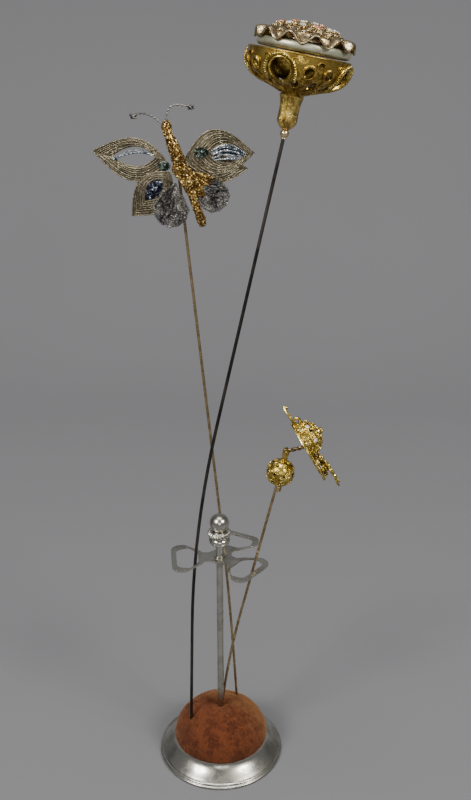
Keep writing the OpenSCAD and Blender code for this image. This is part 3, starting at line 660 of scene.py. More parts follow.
def pile_tree():
    """Short leaning hairs all over a cloth."""
    g = Growth("pile", thickness=20.0, hair=0.001, seed=3)
    spread = g.node("GeometryNodeDistributePointsOnFaces", {"distribute_method": "RANDOM"}, {
        "Mesh": g.given("Geometry"), "Density": g.given("Thickness"), "Seed": g.given("Seed")})
    upright = Socket(g, spread.link.node.outputs["Rotation"])
    lean = g.node("FunctionNodeRandomValue", {"data_type": "FLOAT_VECTOR"}, {
        "Min": (-0.6, -0.6, 0.0), "Max": (0.6, 0.6, TURN), "Seed": 5}, "Value")
    turned = g.node("FunctionNodeRotateRotation", {"rotation_space": "LOCAL"}, {
        "Rotation": upright, "Rotate By": g.node("FunctionNodeEulerToRotation", inputs={"Euler": lean})})
    hair = g.node("GeometryNodeMeshCone", {"fill_type": "NONE"}, {
        "Vertices": 3, "Side Segments": 1, "Radius Top": 0.0, "Radius Bottom": 0.09, "Depth": 1.0})
    size = g.chance(0.6, 1.2, 7) * g.given("Hair")
    return g.finish(g.scatter(spread, hair, turned, g.vector(size, size, size)))


def grain_tree():
    """Small faceted grains scattered over a surface."""
    g = Growth("grain", apart=0.0005, grain=0.0004, seed=1)
    spread = g.node("GeometryNodeDistributePointsOnFaces", {"distribute_method": "POISSON"}, {
        "Mesh": g.given("Geometry"), "Distance Min": g.given("Apart"),
        "Density Max": 4.0e6, "Seed": g.given("Seed")})
    grain = g.node("GeometryNodeMeshIcoSphere", inputs={"Radius": 1.0, "Subdivisions": 1})
    size = g.chance(0.6, 1.15, 11) * g.given("Grain")
    long = g.chance(0.8, 1.7, 13) * size
    return g.finish(g.scatter(spread, grain, g.tumble(17), g.vector(size, size, long)), smooth=False)


def curl_tree():
    """A flat wire curl laid on every point of a surface, facing outwards."""
    g = Growth("curl", size=0.001, wire=0.0002, seed=4)
    spiral = g.node("GeometryNodeCurveSpiral", inputs={
        "Resolution": 12, "Rotations": 1.4, "Start Radius": 0.25, "End Radius": 1.0, "Height": 0.0})
    section = g.node("GeometryNodeCurvePrimitiveCircle", {"mode": "RADIUS"}, {
        "Resolution": 5, "Radius": g.given("Wire") / g.given("Size")})
    curl = g.node("GeometryNodeCurveToMesh", inputs={
        "Curve": spiral, "Profile Curve": section, "Fill Caps": True})
    facing = g.node("FunctionNodeAlignRotationToVector", {"axis": "Z"}, {
        "Vector": g.node("GeometryNodeInputNormal")})
    spin = g.node("FunctionNodeAxisAngleToRotation", inputs={
        "Axis": (0.0, 0.0, 1.0), "Angle": g.chance(0.0, TURN, g.given("Seed"))})
    turned = g.node("FunctionNodeRotateRotation", {"rotation_space": "LOCAL"}, {
        "Rotation": facing, "Rotate By": spin})
    size = g.given("Size")
    return g.finish(g.scatter(g.given("Geometry"), curl, turned, g.vector(size, size, size)))


def ruffle_tree():
    """A flat ring made to rise and fall in even waves round its middle."""
    g = Growth("ruffle", waves=12.0, rise=0.0017)
    place = g.node("GeometryNodeInputPosition")
    split = g.node("ShaderNodeSeparateXYZ", inputs={"Vector": place}, out="X")
    y = Socket(g, split.link.node.outputs["Y"])
    turn = g.node("ShaderNodeMath", {"operation": "ARCTAN2"}, {0: y, 1: split})
    out = g.node("ShaderNodeVectorMath", {"operation": "LENGTH"}, {0: place}, "Value")
    lift = (turn * g.given("Waves")).sine() * g.given("Rise")
    spread = ((out - 15.0 * MM) * (1 / (4.6 * MM))).limited()
    moved = g.node("GeometryNodeSetPosition", inputs={
        "Geometry": g.given("Geometry"),
        "Offset": g.vector(0.0, 0.0, lift * (0.25 + spread * 0.75))})
    return g.finish(moved)


def lace_tree():
    """Fine wire along every edge of a net, with bright beads on some of its knots."""
    g = Growth("lace", wire=0.00012, bead=0.0002, jitter=0.0004, seed=2)
    stray = g.node("FunctionNodeRandomValue", {"data_type": "FLOAT_VECTOR"}, {
        "Min": (-1.0, -1.0, -1.0), "Max": (1.0, 1.0, 1.0), "Seed": g.given("Seed")}, "Value")
    net = g.node("GeometryNodeSetPosition", inputs={
        "Geometry": g.given("Geometry"), "Offset": g.vectors("SCALE", stray, g.given("Jitter"))})
    wires = g.sweep(g.node("GeometryNodeMeshToCurve", inputs={"Mesh": net}), g.given("Wire"), 4)
    bead = g.node("GeometryNodeMeshIcoSphere", inputs={"Radius": 1.0, "Subdivisions": 1})
    size = g.chance(0.2, 1.0, 9) * g.given("Bead")
    beads = g.scatter(net, bead, g.tumble(21), g.vector(size, size, size))
    return g.finish(g.join(wires, beads))


trees = {tree.name: tree for tree in (
    wire_tree(), bead_tree(), coil_tree(), pile_tree(), grain_tree(), curl_tree(), ruffle_tree(),
    lace_tree())}


def grow(name, mesh, tree, look, **sizes):
    """The plain mesh that a tree grows from mesh, with lengths given in millimetres."""
    made = add_object(name, mesh)
    modifier = made.modifiers.new("grow", "NODES")
    modifier.node_group = trees[tree]
    sizes["finish"] = finishes[look]
    for item in trees[tree].interface.items_tree:
        value = sizes.get(item.name.lower())
        if item.in_out == "INPUT" and value is not None:
            small = item.name not in ("Seed", "Sides", "Waves", "Thickness", "Finish")
            modifier[item.identifier] = value * MM if small else value
    return settle(made)


def join_pieces(name, *parts):
    """Several finished meshes as one piece."""
    looks = []
    work = bmesh.new()
    for part in parts:
        mesh = part.data
        names = [look_names[m.name] if m else None for m in mesh.materials]
        looks += [name for name in names if name and name not in looks]
        places = [looks.index(name) if name else 0 for name in names]
        start = len(work.faces)
        work.from_mesh(mesh)
        work.faces.ensure_lookup_table()
        for face in work.faces[start:]:
            face.material_index = places[min(face.material_index, len(places) - 1)]
    mesh = bpy.data.meshes.new(name)
    work.to_mesh(mesh)
    work.free()
    for part in parts:
        bpy.data.objects.remove(part)
    return add_object(name, mesh, looks)


# ---- Frames of the parts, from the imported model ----

def middle(node):
    low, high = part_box(node)
    return (low + high) / 2


def standing(at, up):
    """Millimetres with +Z along up, placed at a point."""
    turn = Vector((0, 0, 1)).rotation_difference(up).to_matrix().to_4x4()
    return Matrix.Translation(at) @ turn @ Matrix.Scale(MM, 4)


holder_place = Matrix.Scale(MM, 4)
bead_middle = Vector((middle("basket_bead").x, middle("basket_bead").y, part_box("basket_bead")[0].z + 1.8 * MM))
basket_place = standing(bead_middle, middle("bowl_rim") - bead_middle)
top_shift = basket_place.inverted() @ middle("cream_disc")
top_place = basket_place @ Matrix.Translation((top_shift.x, top_shift.y, 0))
hub_place = Matrix.Translation(middle("wing_spine") - Vector((-0.2, 0.8, 4.4)) * MM) @ Matrix.Scale(MM, 4)
pin_axes = {joint["name"]: Vector(joint["axis"]).normalized() for joint in frame["joints"]}
ball_place = standing(middle("filigree_ball"), pin_axes["plaque_pin_slide"])
plaque_turn = Matrix.Rotation(math.radians(61), 4, "Y") @ Matrix.Rotation(math.radians(-10), 4, "X")
plaque_place = (Matrix.Translation(middle("plaque_plate")) @ plaque_turn
                @ Matrix.Translation(Vector((-3.3, 0, -0.35)) * MM) @ Matrix.Scale(MM, 4))


# ---- The camera and the room ----

def set_camera():
    camera = bpy.data.objects.new("camera", bpy.data.cameras.new("camera"))
    camera.data.lens = 45
    camera.data.sensor_width = 36
    camera.data.clip_start = 0.01
    camera.location = (0.00719, -0.3861, 0.3610)
    camera.rotation_euler = (math.radians(65.95), 0, 0)
    bpy.context.scene.collection.objects.link(camera)
    bpy.context.scene.camera = camera


def lamp(name, at, aim, size, power, tint=(1.0, 1.0, 1.0)):
    light = bpy.data.lights.new(name, "AREA")
    light.shape = "RECTANGLE"
    light.size, light.size_y = size
    light.energy = power
    light.color = tint
    made = bpy.data.objects.new(name, light)
    made.location = at
    made.rotation_euler = (Vector(aim) - Vector(at)).to_track_quat("-Z", "Y").to_euler()
    bpy.context.scene.collection.objects.link(made)


def set_room():
    """A grey paper sweep under and behind the holder, and soft lamps."""
    world = bpy.data.worlds.new("room")
    world.use_nodes = True
    back = world.node_tree.nodes["Background"]
    back.inputs["Color"].default_value = (0.80, 0.82, 0.85, 1.0)
    back.inputs["Strength"].default_value = 0.2
    bpy.context.scene.world = world

    half, depth, bend = 2.0, 0.75, 0.35
    profile = [(-2.0, 0.0)] + [(depth - bend * (1 - math.sin(t * math.pi / 24)),
                                bend * (1 - math.cos(t * math.pi / 24))) for t in range(13)] + [(depth, 3.0)]
    mesh = bpy.data.meshes.new("paper_sweep")
    mesh.from_pydata([(x, y, z) for y, z in profile for x in (-half, half)], [],
                     [(2 * i, 2 * i + 1, 2 * i + 3, 2 * i + 2) for i in range(len(profile) - 1)])
    for polygon in mesh.polygons:
        polygon.use_smooth = True
    paper = Finish("card", "grey_paper", specular_ior_level=0.2)
    fibre = paper.noise(1.2, 4, 0.7)
    tone = paper.noise(220, 2, 0.5)
    paper.set(base_color=paper.mix(fibre * 0.35 + tone * 0.3, (0.205, 0.205, 0.212), (0.165, 0.165, 0.172)),
              roughness=0.9, normal=paper.bump(fibre, 0.12, 0.25))
    sweep = bpy.data.objects.new("paper_sweep", mesh)
    mesh.materials.append(paper.material)
    bpy.context.scene.collection.objects.link(sweep)

    lamp("left_lamp", (-0.85, -0.75, 1.05), (0, 0, 0.12), (0.42, 0.42), 15.0, (1.0, 0.98, 0.95))
    lamp("right_lamp", (0.85, -0.65, 1.0), (0, 0, 0.12), (0.4, 0.42), 13.0, (1.0, 0.98, 0.95))
    lamp("top_lamp", (0.0, -0.1, 1.5), (0, 0, 0.1), (0.8, 0.6), 9.0, (0.97, 0.98, 1.0))
    lamp("front_lamp", (0.1, -1.5, 0.7), (0, 0, 0.15), (0.7, 0.4), 3.0, (1.0, 1.0, 1.0))


# ---- The holder ----

def turned_dish():
    """The dish: a fine double bead round the foot, a hollow slope and a rolled lip."""
    slope = [(21.9 + 6.2 * (1 - t) ** 1.75, 2.6 + 6.7 * t ** 0.92) for t in (i / 18 for i in range(19))]
    profile = [(29.1, 0.15), (29.75, 0.25), (30.0, 0.65), (29.93, 1.05), (29.6, 1.35), (29.3, 1.42),
               (29.12, 1.6), (29.05, 1.95), (28.8, 2.25), (28.45, 2.35)] + slope + [
        (22.5, 9.36), (22.2, 9.4), (21.95, 9.3), (21.82, 9.0), (21.8, 4.2), (1.6, 3.9), (1.6, 3.1),
        (21.3, 3.2), (21.5, 8.4)] + [(r - 0.55, z - 0.6) for r, z in reversed(slope)] + [(28.1, 1.2)]
    shape = Shape().lathe(profile, 160, loop=True)
    made = add_object("turned_dish", shape.mesh("turned_dish", holder_place), ["plate_metal"])
    give(sharpen(made, 50), "stand", "plate_metal", "base_dish")


def turned_post():
    low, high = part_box("post")
    r = (high.x - low.x) / 2 / MM
    top, foot = high.z / MM, low.z / MM
    core = 1.2
    shoulder = 110.4
    profile = [(0, foot), (r * 0.8, foot), (r, foot + 0.3), (r, shoulder - 0.15), (r - 0.15, shoulder),
               (core, shoulder), (core, top - 0.2), (core - 0.2, top), (0, top)]
    made = add_object("turned_post", Shape().lathe(profile, 40).mesh("turned_post", holder_place), ["plate_metal"])
    give(sharpen(made, 40), "stand", "plate_metal", "post")


def looped_guide():
    made = soften("pin_guide", edge=0.16, angle=50, name="looped_guide")
    give(made, "stand", "plate_metal", "pin_guide")


def finial_pieces():
    """A collar on the guide, a cup, a roped ring and a ball."""
    stem = soften("finial_stem", edge=0.1, name="finial_collar")
    give(stem, "stand", "plate_metal", "finial_stem")
    cup = [(1.2, 117.5), (2.4, 117.5), (2.9, 118.0)] + [
        (4.85 - 1.9 * (1 - math.cos(t)), 119.8 + 1.9 * math.sin(t))
        for t in (math.radians(d) for d in range(-50, 71, 10))] + [(3.5, 121.6), (1.2, 121.6)]
    give(sharpen(add_object("finial_turned_cup", Shape().lathe(cup, 72, loop=True).mesh(
        "finial_turned_cup", holder_place), ["plate_metal"]), 50), "stand", "plate_metal", "finial_cup")

    ring = [(1.2, 121.6)] + [(3.35 + 1.35 * math.cos(t), 123.35 + 1.5 * math.sin(t))
                             for t in (math.radians(d) for d in range(-85, 86, 10))] + [(1.2, 125.1)]
    core = add_object("rope_core", Shape().lathe(ring, 72, loop=True).mesh("rope_core", holder_place),
                      ["plate_metal"])
    lobe_count, rope_z = 22, 123.35
    rope = Shape()
    for i in range(lobe_count):
        around = TURN * i / lobe_count
        lobe = Matrix.Rotation(around, 4, "Z") @ Matrix.Translation((4.3, 0, rope_z)) @ Matrix.Rotation(
            0.75, 4, "X") @ Matrix.Diagonal((1.05, 0.62, 1.75, 1))
        rope.join(Shape().ball((0, 0, 0), 1.0, 8), lobe)
    lobes = add_object("rope_lobes", rope.mesh("rope_lobes", holder_place, weld=False), ["plate_metal"])
    give(join_pieces("finial_roped_ring", core, lobes), "stand", "plate_metal", "finial_gadroon")

    r, ball_z = 4.45, 128.45
    ball = [(r * math.sin(t), ball_z - r * math.cos(t)) for t in (math.radians(d) for d in range(36, 181, 6))]
    give(sharpen(add_object("finial_turned_ball", Shape().lathe([(0, ball[0][1])] + ball, 72).mesh(
        "finial_turned_ball", holder_place), ["plate_metal"]), 50), "stand", "plate_metal", "finial_ball")


POST_SPOT, BASKET_SPOT, BUTTERFLY_SPOT, PLAQUE_SPOT = (0, 0), (-14.3, -4.6), (7.8, 10), (0.8, 2.9)
TUCKS = ((POST_SPOT, 1.0, 3.2), (BASKET_SPOT, 0.8, 1.9), (BUTTERFLY_SPOT, 1.0, 2.0), (PLAQUE_SPOT, 0.5, 1.8))
WELL_R = 21.9


def cushion_height(r, around):
    """Height of the crowned velvet at a distance from the middle, with its tucks."""
    crown = 9.2 + 16.6 * max(0.0, 1 - (r / WELL_R) ** 2.35) ** 0.56
    for (x, y), depth, wide in TUCKS:
        away = math.hypot(r * math.cos(around) - x, r * math.sin(around) - y)
        crown -= depth * math.exp(-(away / wide) ** 2)
    return crown + 0.16 * math.sin(3 * around + 0.6) * r / WELL_R + 0.12 * math.sin(5 * around + r * 0.3)


def velvet_form(scale):
    """The pincushion's cover before it is stuffed: a crowned closed form."""
    profile_r = [22.0 * math.sin(math.radians(d)) ** 0.9 if d else 0.0 for d in range(0, 91, 5)]
    rows = []
    for r in profile_r:
        rows.append([Vector((r * math.cos(TURN * j / 72), r * math.sin(TURN * j / 72),
                             cushion_height(r, TURN * j / 72))) for j in range(72)])
    for r, z in ((22.15, 8.9), (21.6, 8.2), (21.3, 6.0), (21.2, 5.0), (15, 4.9), (0, 4.9)):
        rows.append([Vector((r * math.cos(TURN * j / 72), r * math.sin(TURN * j / 72), z)) for j in range(72)])
    return Shape().grid(rows).mesh("velvet_form", Matrix.Scale(MM * scale, 4))


def stuff_cover(mesh, scale):
    """Blows the cover up as cloth, held at the well and where the post and pins pull it in."""
    made = add_object("velvet_sim", mesh)
    remesh = made.modifiers.new("remesh", "REMESH")
    remesh.mode = "VOXEL"
    remesh.voxel_size = 1.0 * MM * scale
    settle(made)
    held = made.vertex_groups.new(name="held")
    for vertex in made.data.vertices:
        at = vertex.co / (MM * scale)
        tuck = min(math.hypot(at.x - x, at.y - y) for (x, y), _, _ in TUCKS)
        grip = 1.0 if at.z < 9.3 else max(0.0, 1 - tuck / 2.2)
        if grip > 0:
            held.add([vertex.index], grip, "REPLACE")
    start = [vertex.co.copy() for vertex in made.data.vertices]
    cloth = made.modifiers.new("cloth", "CLOTH")
    cloth.settings.use_pressure = True
    cloth.settings.uniform_pressure_force = 4
    cloth.settings.vertex_group_mass = "held"
    cloth.settings.quality = 5
    cloth.settings.effector_weights.gravity = 0
    cloth.point_cache.frame_start = 1
    cloth.point_cache.frame_end = 20
    scene = bpy.context.scene
    for step in range(1, 21):
        scene.frame_set(step)
    settle(made)
    scene.frame_set(1)
    cap = 1.1 * MM * scale
    for vertex, was in zip(made.data.vertices, start):
        move = vertex.co - was
        if move.length > cap:
            vertex.co = was + move.normalized() * cap
    mesh = made.data
    bpy.data.objects.remove(made)
    return mesh


def velvet_cushion():
    """The stuffed velvet cushion and its short pile."""
    scale = 10
    mesh = velvet_form(scale)
    mesh = stuff_cover(mesh, scale)
    mesh.transform(Matrix.Scale(1 / scale, 4))
    made = add_object("velvet_cushion", mesh, ["velvet"])
    smooth = made.modifiers.new("smooth", "SUBSURF")
    smooth.levels = smooth.render_levels = 1
    settle(made)
    for polygon in made.data.polygons:
        polygon.use_smooth = True

    top = bmesh.new()
    top.from_mesh(made.data)
    bmesh.ops.delete(top, geom=[f for f in top.faces if f.calc_center_median().z < 8.9 * MM], context="FACES")
    bed = bpy.data.meshes.new("pile_bed")
    top.to_mesh(bed)
    top.free()
    pile = grow("velvet_pile", bed, "pile", "velvet", thickness=14.0 / MM ** 2, hair=0.95, seed=3)
    give(made, "stand", "velvet", "cushion_velvet")
    give(pile, "stand", "velvet")


# ---- The basket pin ----

def round_bead():
    r = 1.82
    bead = Shape().ball((0, 0, 0), r, 20)
    bead.lathe([(0.7, -2.3), (1.0, -2.1), (1.05, -1.8), (0.75, -1.6)], 32, loop=True)
    bead.lathe([(0.8, 1.5), (1.15, 1.6), (1.2, 1.9), (0.9, 2.1)], 32, loop=True)
    made = add_object("basket_round_bead", bead.mesh("basket_round_bead", basket_place), ["pale_gilt"])
    give(made, "basket_pin", "pale_gilt", "basket_bead")


def ribbed_calyx():
    """Four plump ribs that draw in to the bead, with a deep seam between each pair."""
    rows = []
    steps = 96
    for i in range(41):
        s = 1.6 + 12.8 * i / 40
        swell = (4.4 - 2.8 * max(0.0, 1 - (s - 1.6) / 3.8) ** 2 - 0.4 * math.sin(math.pi * (s - 1.6) / 12.4)
                 + 0.5 * max(0.0, (s - 10.2) / 4.2) ** 2)
        row = []
        for j in range(steps):
            a = TURN * j / steps
            seam = abs(math.cos(2 * (a + math.radians(26 + 45)))) ** 0.45
            r = swell * (0.74 + 0.27 * seam)
            row.append(Vector((r * math.cos(a), r * math.sin(a), s)))
        rows.append(row)
    rows = [[Vector((0, 0, 1.6))] * steps] + rows + [[Vector((0, 0, 14.4))] * steps]
    made = add_object("ribbed_calyx", Shape().grid(rows).mesh("ribbed_calyx", basket_place), ["stippled_gilt"])
    give(sharpen(made, 60), "basket_pin", "gilt", "basket_calyx")


def bowl_radius(s):
    """The bowl's outer radius at a height above the bead."""
    if s < 18:
        return 4.4 + 7 * max(0.0, (s - 14) / 4) ** 2.4
    return 9.4 + 10.6 * math.sqrt(max(0.0, 1 - (max(0.0, 27 - s) / 9.2) ** 2))


def bowl_point(s, turn, out=0.0):
    """A point on the bowl at height s and an angle in degrees, lifted out from it."""
    r = bowl_radius(s) + out
    return Vector((r * math.cos(math.radians(turn)), r * math.sin(math.radians(turn)), s))


BOWL_TURNS = (-113, -23, 67, 157)


def bowl_flat(turn, s, mid, height):
    """Where a point of the bowl lies in a flat drawing round a middle, in millimetres."""
    across = (turn - mid + 180) % 360 - 180
    return math.radians(across) * max(bowl_radius(s), 9.0), (s - height) * 1.12


def bowl_opening(turn, s):
    """Distance to the nearest opening's edge, negative inside it."""
    best = 9.0
    for lead in BOWL_TURNS:
        x, y = bowl_flat(turn, s, lead, 23.4)
        arch = math.hypot(x, y * 0.9) - 3.9 if y > 0 else abs(x) - 3.9 * (1 - (y / -5.2) ** 2) if y > -5.2 else 3
        best = min(best, arch)
        for shift, high, wide, tall in ((33, 23.8, 2.05, 2.3), (57, 23.9, 1.7, 2.0), (20.5, 18.9, 1.1, 1.9),
                                        (45, 19.2, 1.5, 1.7), (69.5, 18.9, 1.1, 1.9), (45, 27.0, 0.9, 0.8)):
            x, y = bowl_flat(turn, s, lead + shift, high)
            best = min(best, (math.hypot(x / wide, y / tall) - 1) * min(wide, tall))
    return best


def pierced_bowl():
    """The bowl's thin shell, cut through by its arches and curls, with painted shade inside it."""
    steps, levels = 360, 84
    heights = [14.0 + 15.2 * i / levels for i in range(levels + 1)]
    work = bmesh.new()
    grid = []
    for s in heights:
        row = []
        for j in range(steps):
            turn, high = 360 * j / steps, s
            gap = bowl_opening(turn, high)
            if abs(gap) < 0.24:
                slide_t = (bowl_opening(turn + 0.4, high) - bowl_opening(turn - 0.4, high)) / 0.8
                slide_s = (bowl_opening(turn, high + 0.05) - bowl_opening(turn, high - 0.05)) / 0.1
                steep = slide_t ** 2 + slide_s ** 2
                if steep > 1e-4:
                    high = min(29.2, max(14.0, high - gap * slide_s / (slide_s ** 2 + (slide_t * 3.2) ** 2 + 1e-6)))
                    turn -= gap * slide_t * 10.2 / (slide_s ** 2 + (slide_t * 3.2) ** 2 + 1e-6)
            vertex = work.verts.new(bowl_point(high, turn))
            row.append((vertex, bowl_opening(360 * j / steps, s)))
        grid.append(row)
    for i in range(levels):
        for j in range(steps):
            k = (j + 1) % steps
            corners = [grid[i][j], grid[i][k], grid[i + 1][k], grid[i + 1][j]]
            if sum(gap for _, gap in corners) / 4 > 0:
                work.faces.new([vertex for vertex, _ in corners])
    bmesh.ops.delete(work, geom=[v for v in work.verts if not v.link_faces], context="VERTS")
    for face in work.faces:
        face.smooth = True
    mesh = bpy.data.meshes.new("pierced_bowl")
    work.to_mesh(mesh)
    work.free()
    mesh.transform(basket_place)
    # The shell's inner faces take the near-black copy of the gilt: painted shade inside the bowl.
    made = add_object("pierced_bowl", mesh, ["gilt", "bowl_inside"])
    wall = made.modifiers.new("wall", "SOLIDIFY")
    wall.thickness = 0.6 * MM
    wall.offset = -1
    wall.material_offset = 1
    wall.material_offset_rim = 0
    settle(made)
    # A dark closed cap inside the bowl, under the disc, blocks the view through it: painted shade.
    shade_lining = Shape().lathe([(8.6, 20.0), (13.2, 21.9), (15.9, 24.6), (17.2, 27.2), (17.6, 29.1), (2.4, 29.3),
                            (2.4, 28.9), (17.1, 28.7), (16.8, 27.2), (15.5, 24.8), (12.9, 22.4), (8.6, 20.5)],
                           72, loop=True)
    inner = add_object("bowl_lining", shade_lining.mesh("bowl_lining", basket_place), ["bowl_inside"])
    give(join_pieces("pierced_bowl", sharpen(made, 50), inner), "basket_pin", "gilt", "basket_bowl")


def arc_on_bowl(mid, height, wide, tall, first, last, out=0.3, count=28, spiral=0.0):
    """A curve laid on the bowl: part of an oval round a middle, drawn in when spiral is given."""
    points = []
    for i in range(count + 1):
        t = i / count
        a = math.radians(first + (last - first) * t)
        close = 1 - spiral * t
        s = height + tall * close * math.sin(a) / 1.12
        turn = mid + math.degrees(wide * close * math.cos(a) / max(bowl_radius(s), 9.0))
        points.append(bowl_point(s, turn, out))
    return points


def beaded_arches():
    """A row of fine beads over each arch, on a plain wire."""
    rows, wires = Shape(), Shape()
    for lead in BOWL_TURNS:
        rows.path(arc_on_bowl(lead, 22.9, 6.1, 6.4, -32, 212, 0.85, 60))
        wires.tube(arc_on_bowl(lead, 22.9, 6.1, 6.4, -34, 214, 0.15, 48), 0.72, 10)
        wires.tube(arc_on_bowl(lead, 23.4, 4.35, 4.7, -60, 240, 0.25, 40), 0.42, 8)
    beads = grow("arch_beads", rows.mesh("arch_beads", basket_place), "bead row", "bright_gilt",
                 spacing=0.95, bead=0.52)
    wire = add_object("arch_wires", wires.mesh("arch_wires", basket_place), ["gilt"])
    give(join_pieces("beaded_arches", beads, wire), "basket_pin", "gilt", "bowl_arches")


def raised_curls():
    """Thick curls round the small openings, stems between them, and leaves at the neck."""
    curls = Shape()
    for lead in BOWL_TURNS:
        for shift, high, wide, tall, way in ((33, 23.8, 2.45, 2.7, 1), (57, 23.9, 2.1, 2.35, -1)):
            first, last = (-100, 235) if way > 0 else (280, -55)
            path = arc_on_bowl(lead + shift, high, wide, tall, first, last, 0.35, 34, spiral=0.16)
            curls.tube(path, [0.28 + 0.4 * math.sin(math.pi * i / 34) for i in range(35)], 10)
            curls.ball(path[-1], 0.55, 10)
        for shift, lean in ((20.5, 6), (45, 0), (69.5, -6)):
            for way in (-1, 1):
                stem = [bowl_point(15.4 + 6.4 * t, lead + shift + way * (2 + 9 * math.sin(math.pi * t * 0.75))
                                   + lean * t, 0.3) for t in (i / 16 for i in range(17))]
                curls.tube(stem, [0.2 + 0.34 * math.sin(math.pi * min(1, 0.15 + i / 18)) for i in range(17)], 8)
        for shift in (16, 45, 74):
            path = arc_on_bowl(lead + shift, 27.0, 1.5, 1.1, 200, -20, 0.3, 16)
            curls.tube(path, 0.3, 8)
        for side in (-1, 1):
            leaf = [bowl_point(15.2 + 3.6 * t, lead + side * (7 + 9 * t), 0.35) for t in (i / 10 for i in range(11))]
            curls.tube(leaf, [0.12 + 0.62 * math.sin(math.pi * i / 10) for i in range(11)], 8)
    made = add_object("raised_curls", curls.mesh("raised_curls", basket_place), ["gilt"])
    give(made, "basket_pin", "gilt", "bowl_scrolls")


def rim_and_disc():
    rim = Shape().lathe([(19.5 + 0.55 * math.cos(t), 29.5 + 0.5 * math.sin(t))
                         for t in (TURN * i / 14 for i in range(14))], 128, loop=True)
    give(add_object("rolled_bowl_rim", rim.mesh("rolled_bowl_rim", basket_place), ["gilt"]),
         "basket_pin", "gilt", "bowl_rim")
    low, high, r = 30.5, 34.0, 18.25
    edge = [(2.1, low), (16.6, low), (r - 0.75, low + 0.25), (r - 0.12, low + 0.9), (r, low + 1.6),
            (r - 0.05, high - 0.7), (r - 0.4, high - 0.15), (r - 1.0, high), (2.1, high)]
    disc = Shape().lathe(edge, 128, loop=True)
    give(sharpen(add_object("satin_disc", disc.mesh("satin_disc", top_place), ["cream"]), 50),
         "basket_pin", "cream", "cream_disc")


def ruffled_collar():
    """A zigzag frill of thin rose gilt between the disc and the jewelled top."""
    rows = []
    for r, z in ((14.6, 35.7), (15.8, 35.8), (17.0, 35.8), (18.0, 35.6), (18.8, 35.3), (19.2, 35.0)):
        rows.append([Vector((r * math.cos(TURN * j / 288), r * math.sin(TURN * j / 288), z)) for j in range(288)])
    flat = Shape().grid(rows).mesh("ruffled_collar", Matrix.Scale(MM, 4))
    made = grow("ruffled_collar", flat, "ruffle", "rose_gilt", waves=12.0, rise=1.75)
    made.data.transform(top_place @ Matrix.Scale(1 / MM, 4))
    wall = made.modifiers.new("wall", "SOLIDIFY")
    wall.thickness = 0.55 * MM
    wall.offset = 0
    settle(made)
    lip = Shape().path([Vector((19.2 * math.cos(a), 19.2 * math.sin(a), 35.0 + 1.75 * math.sin(12 * a)))
                        for a in (TURN * i / 288 for i in range(288))], closed=True)
    edge = grow("frill_edge", lip.mesh("frill_edge", top_place), "wire", "bright_gilt", radius=0.42, sides=8)
    give(join_pieces("ruffled_collar", sharpen(made, 70), edge), "basket_pin", "rose_gilt", "top_ruffle")


def dome_height(r):
    return 34.6 + 6 * math.sqrt(max(0.0, 1 - (r / 16.2) ** 2))


def dome_frame(r, turn, out=0.0):
    """A frame standing on the dome at a radius and an angle in degrees."""
    slope = 6 * r / 16.2 ** 2 / math.sqrt(max(0.05, 1 - (r / 16.2) ** 2))
    up = Vector((slope, 0, 1)).normalized()
    local = Matrix.Translation(Vector((r, 0, dome_height(r))) + up * out) @ Vector(
        (0, 0, 1)).rotation_difference(up).to_matrix().to_4x4()
    return Matrix.Rotation(math.radians(turn), 4, "Z") @ local


def stone_seats():
    """The seats on the dome: frame and whether its stone is coral."""
    seats = [(5, 60 * i, i % 3 == 0) for i in range(6)] + [
        (10.6, 30 * i + 15, i % 3 == 0) for i in range(12)]
    return [(dome_frame(r, turn, 0.5), coral) for r, turn, coral in seats]


def cut_stone(radius, sides=8):
    """A brilliant: a flat table, crown facets and a point below."""
    def ring(r, z, shift):
        return [Vector((r * math.cos(TURN * (j + shift) / sides), r * math.sin(TURN * (j + shift) / sides), z))
                for j in range(sides)]
    table, crown = ring(radius * 0.55, radius * 0.6, 0.5), ring(radius * 0.85, radius * 0.38, 0)
    girdle = ring(radius, 0.1, 0.5)
    points = table + crown + girdle + [Vector((0, 0, -radius * 0.5))]
    faces = [list(range(sides))]
    for a, b, shift in ((0, sides, 0), (sides, 2 * sides, 1)):
        for j in range(sides):
            k = (j + 1) % sides
            if shift:
                faces += [[a + j, b + j, a + k], [a + k, b + j, b + k]]
            else:
                faces += [[a + j, b + j, b + k], [a + j, b + k, a + k]]
    faces += [[2 * sides + j, 3 * sides, 2 * sides + (j + 1) % sides] for j in range(sides)]
    return Shape().add(points, faces)


def claw_cup(radius, deep=1.0):
    """A little collet with four claws."""
    cup = Shape().lathe([(radius * 0.6, -deep), (radius * 1.12, 0.12), (radius * 1.12, 0.35),
                         (radius * 0.95, 0.35), (radius * 0.9, 0.0), (radius * 0.4, -deep * 0.6)], 16, loop=True)
    for i in range(4):
        a = TURN * i / 4
        path = [Vector((radius * r * math.cos(a), radius * r * math.sin(a), z))
                for r, z in ((1.12, -0.3), (1.16, 0.25), (1.0, 0.62), (0.78, 0.78))]
        cup.tube(path, [0.2, 0.22, 0.2, 0.14], 6)
    return cup


def flat_faces(made):
    for polygon in made.data.polygons:
        polygon.use_smooth = False
    return made


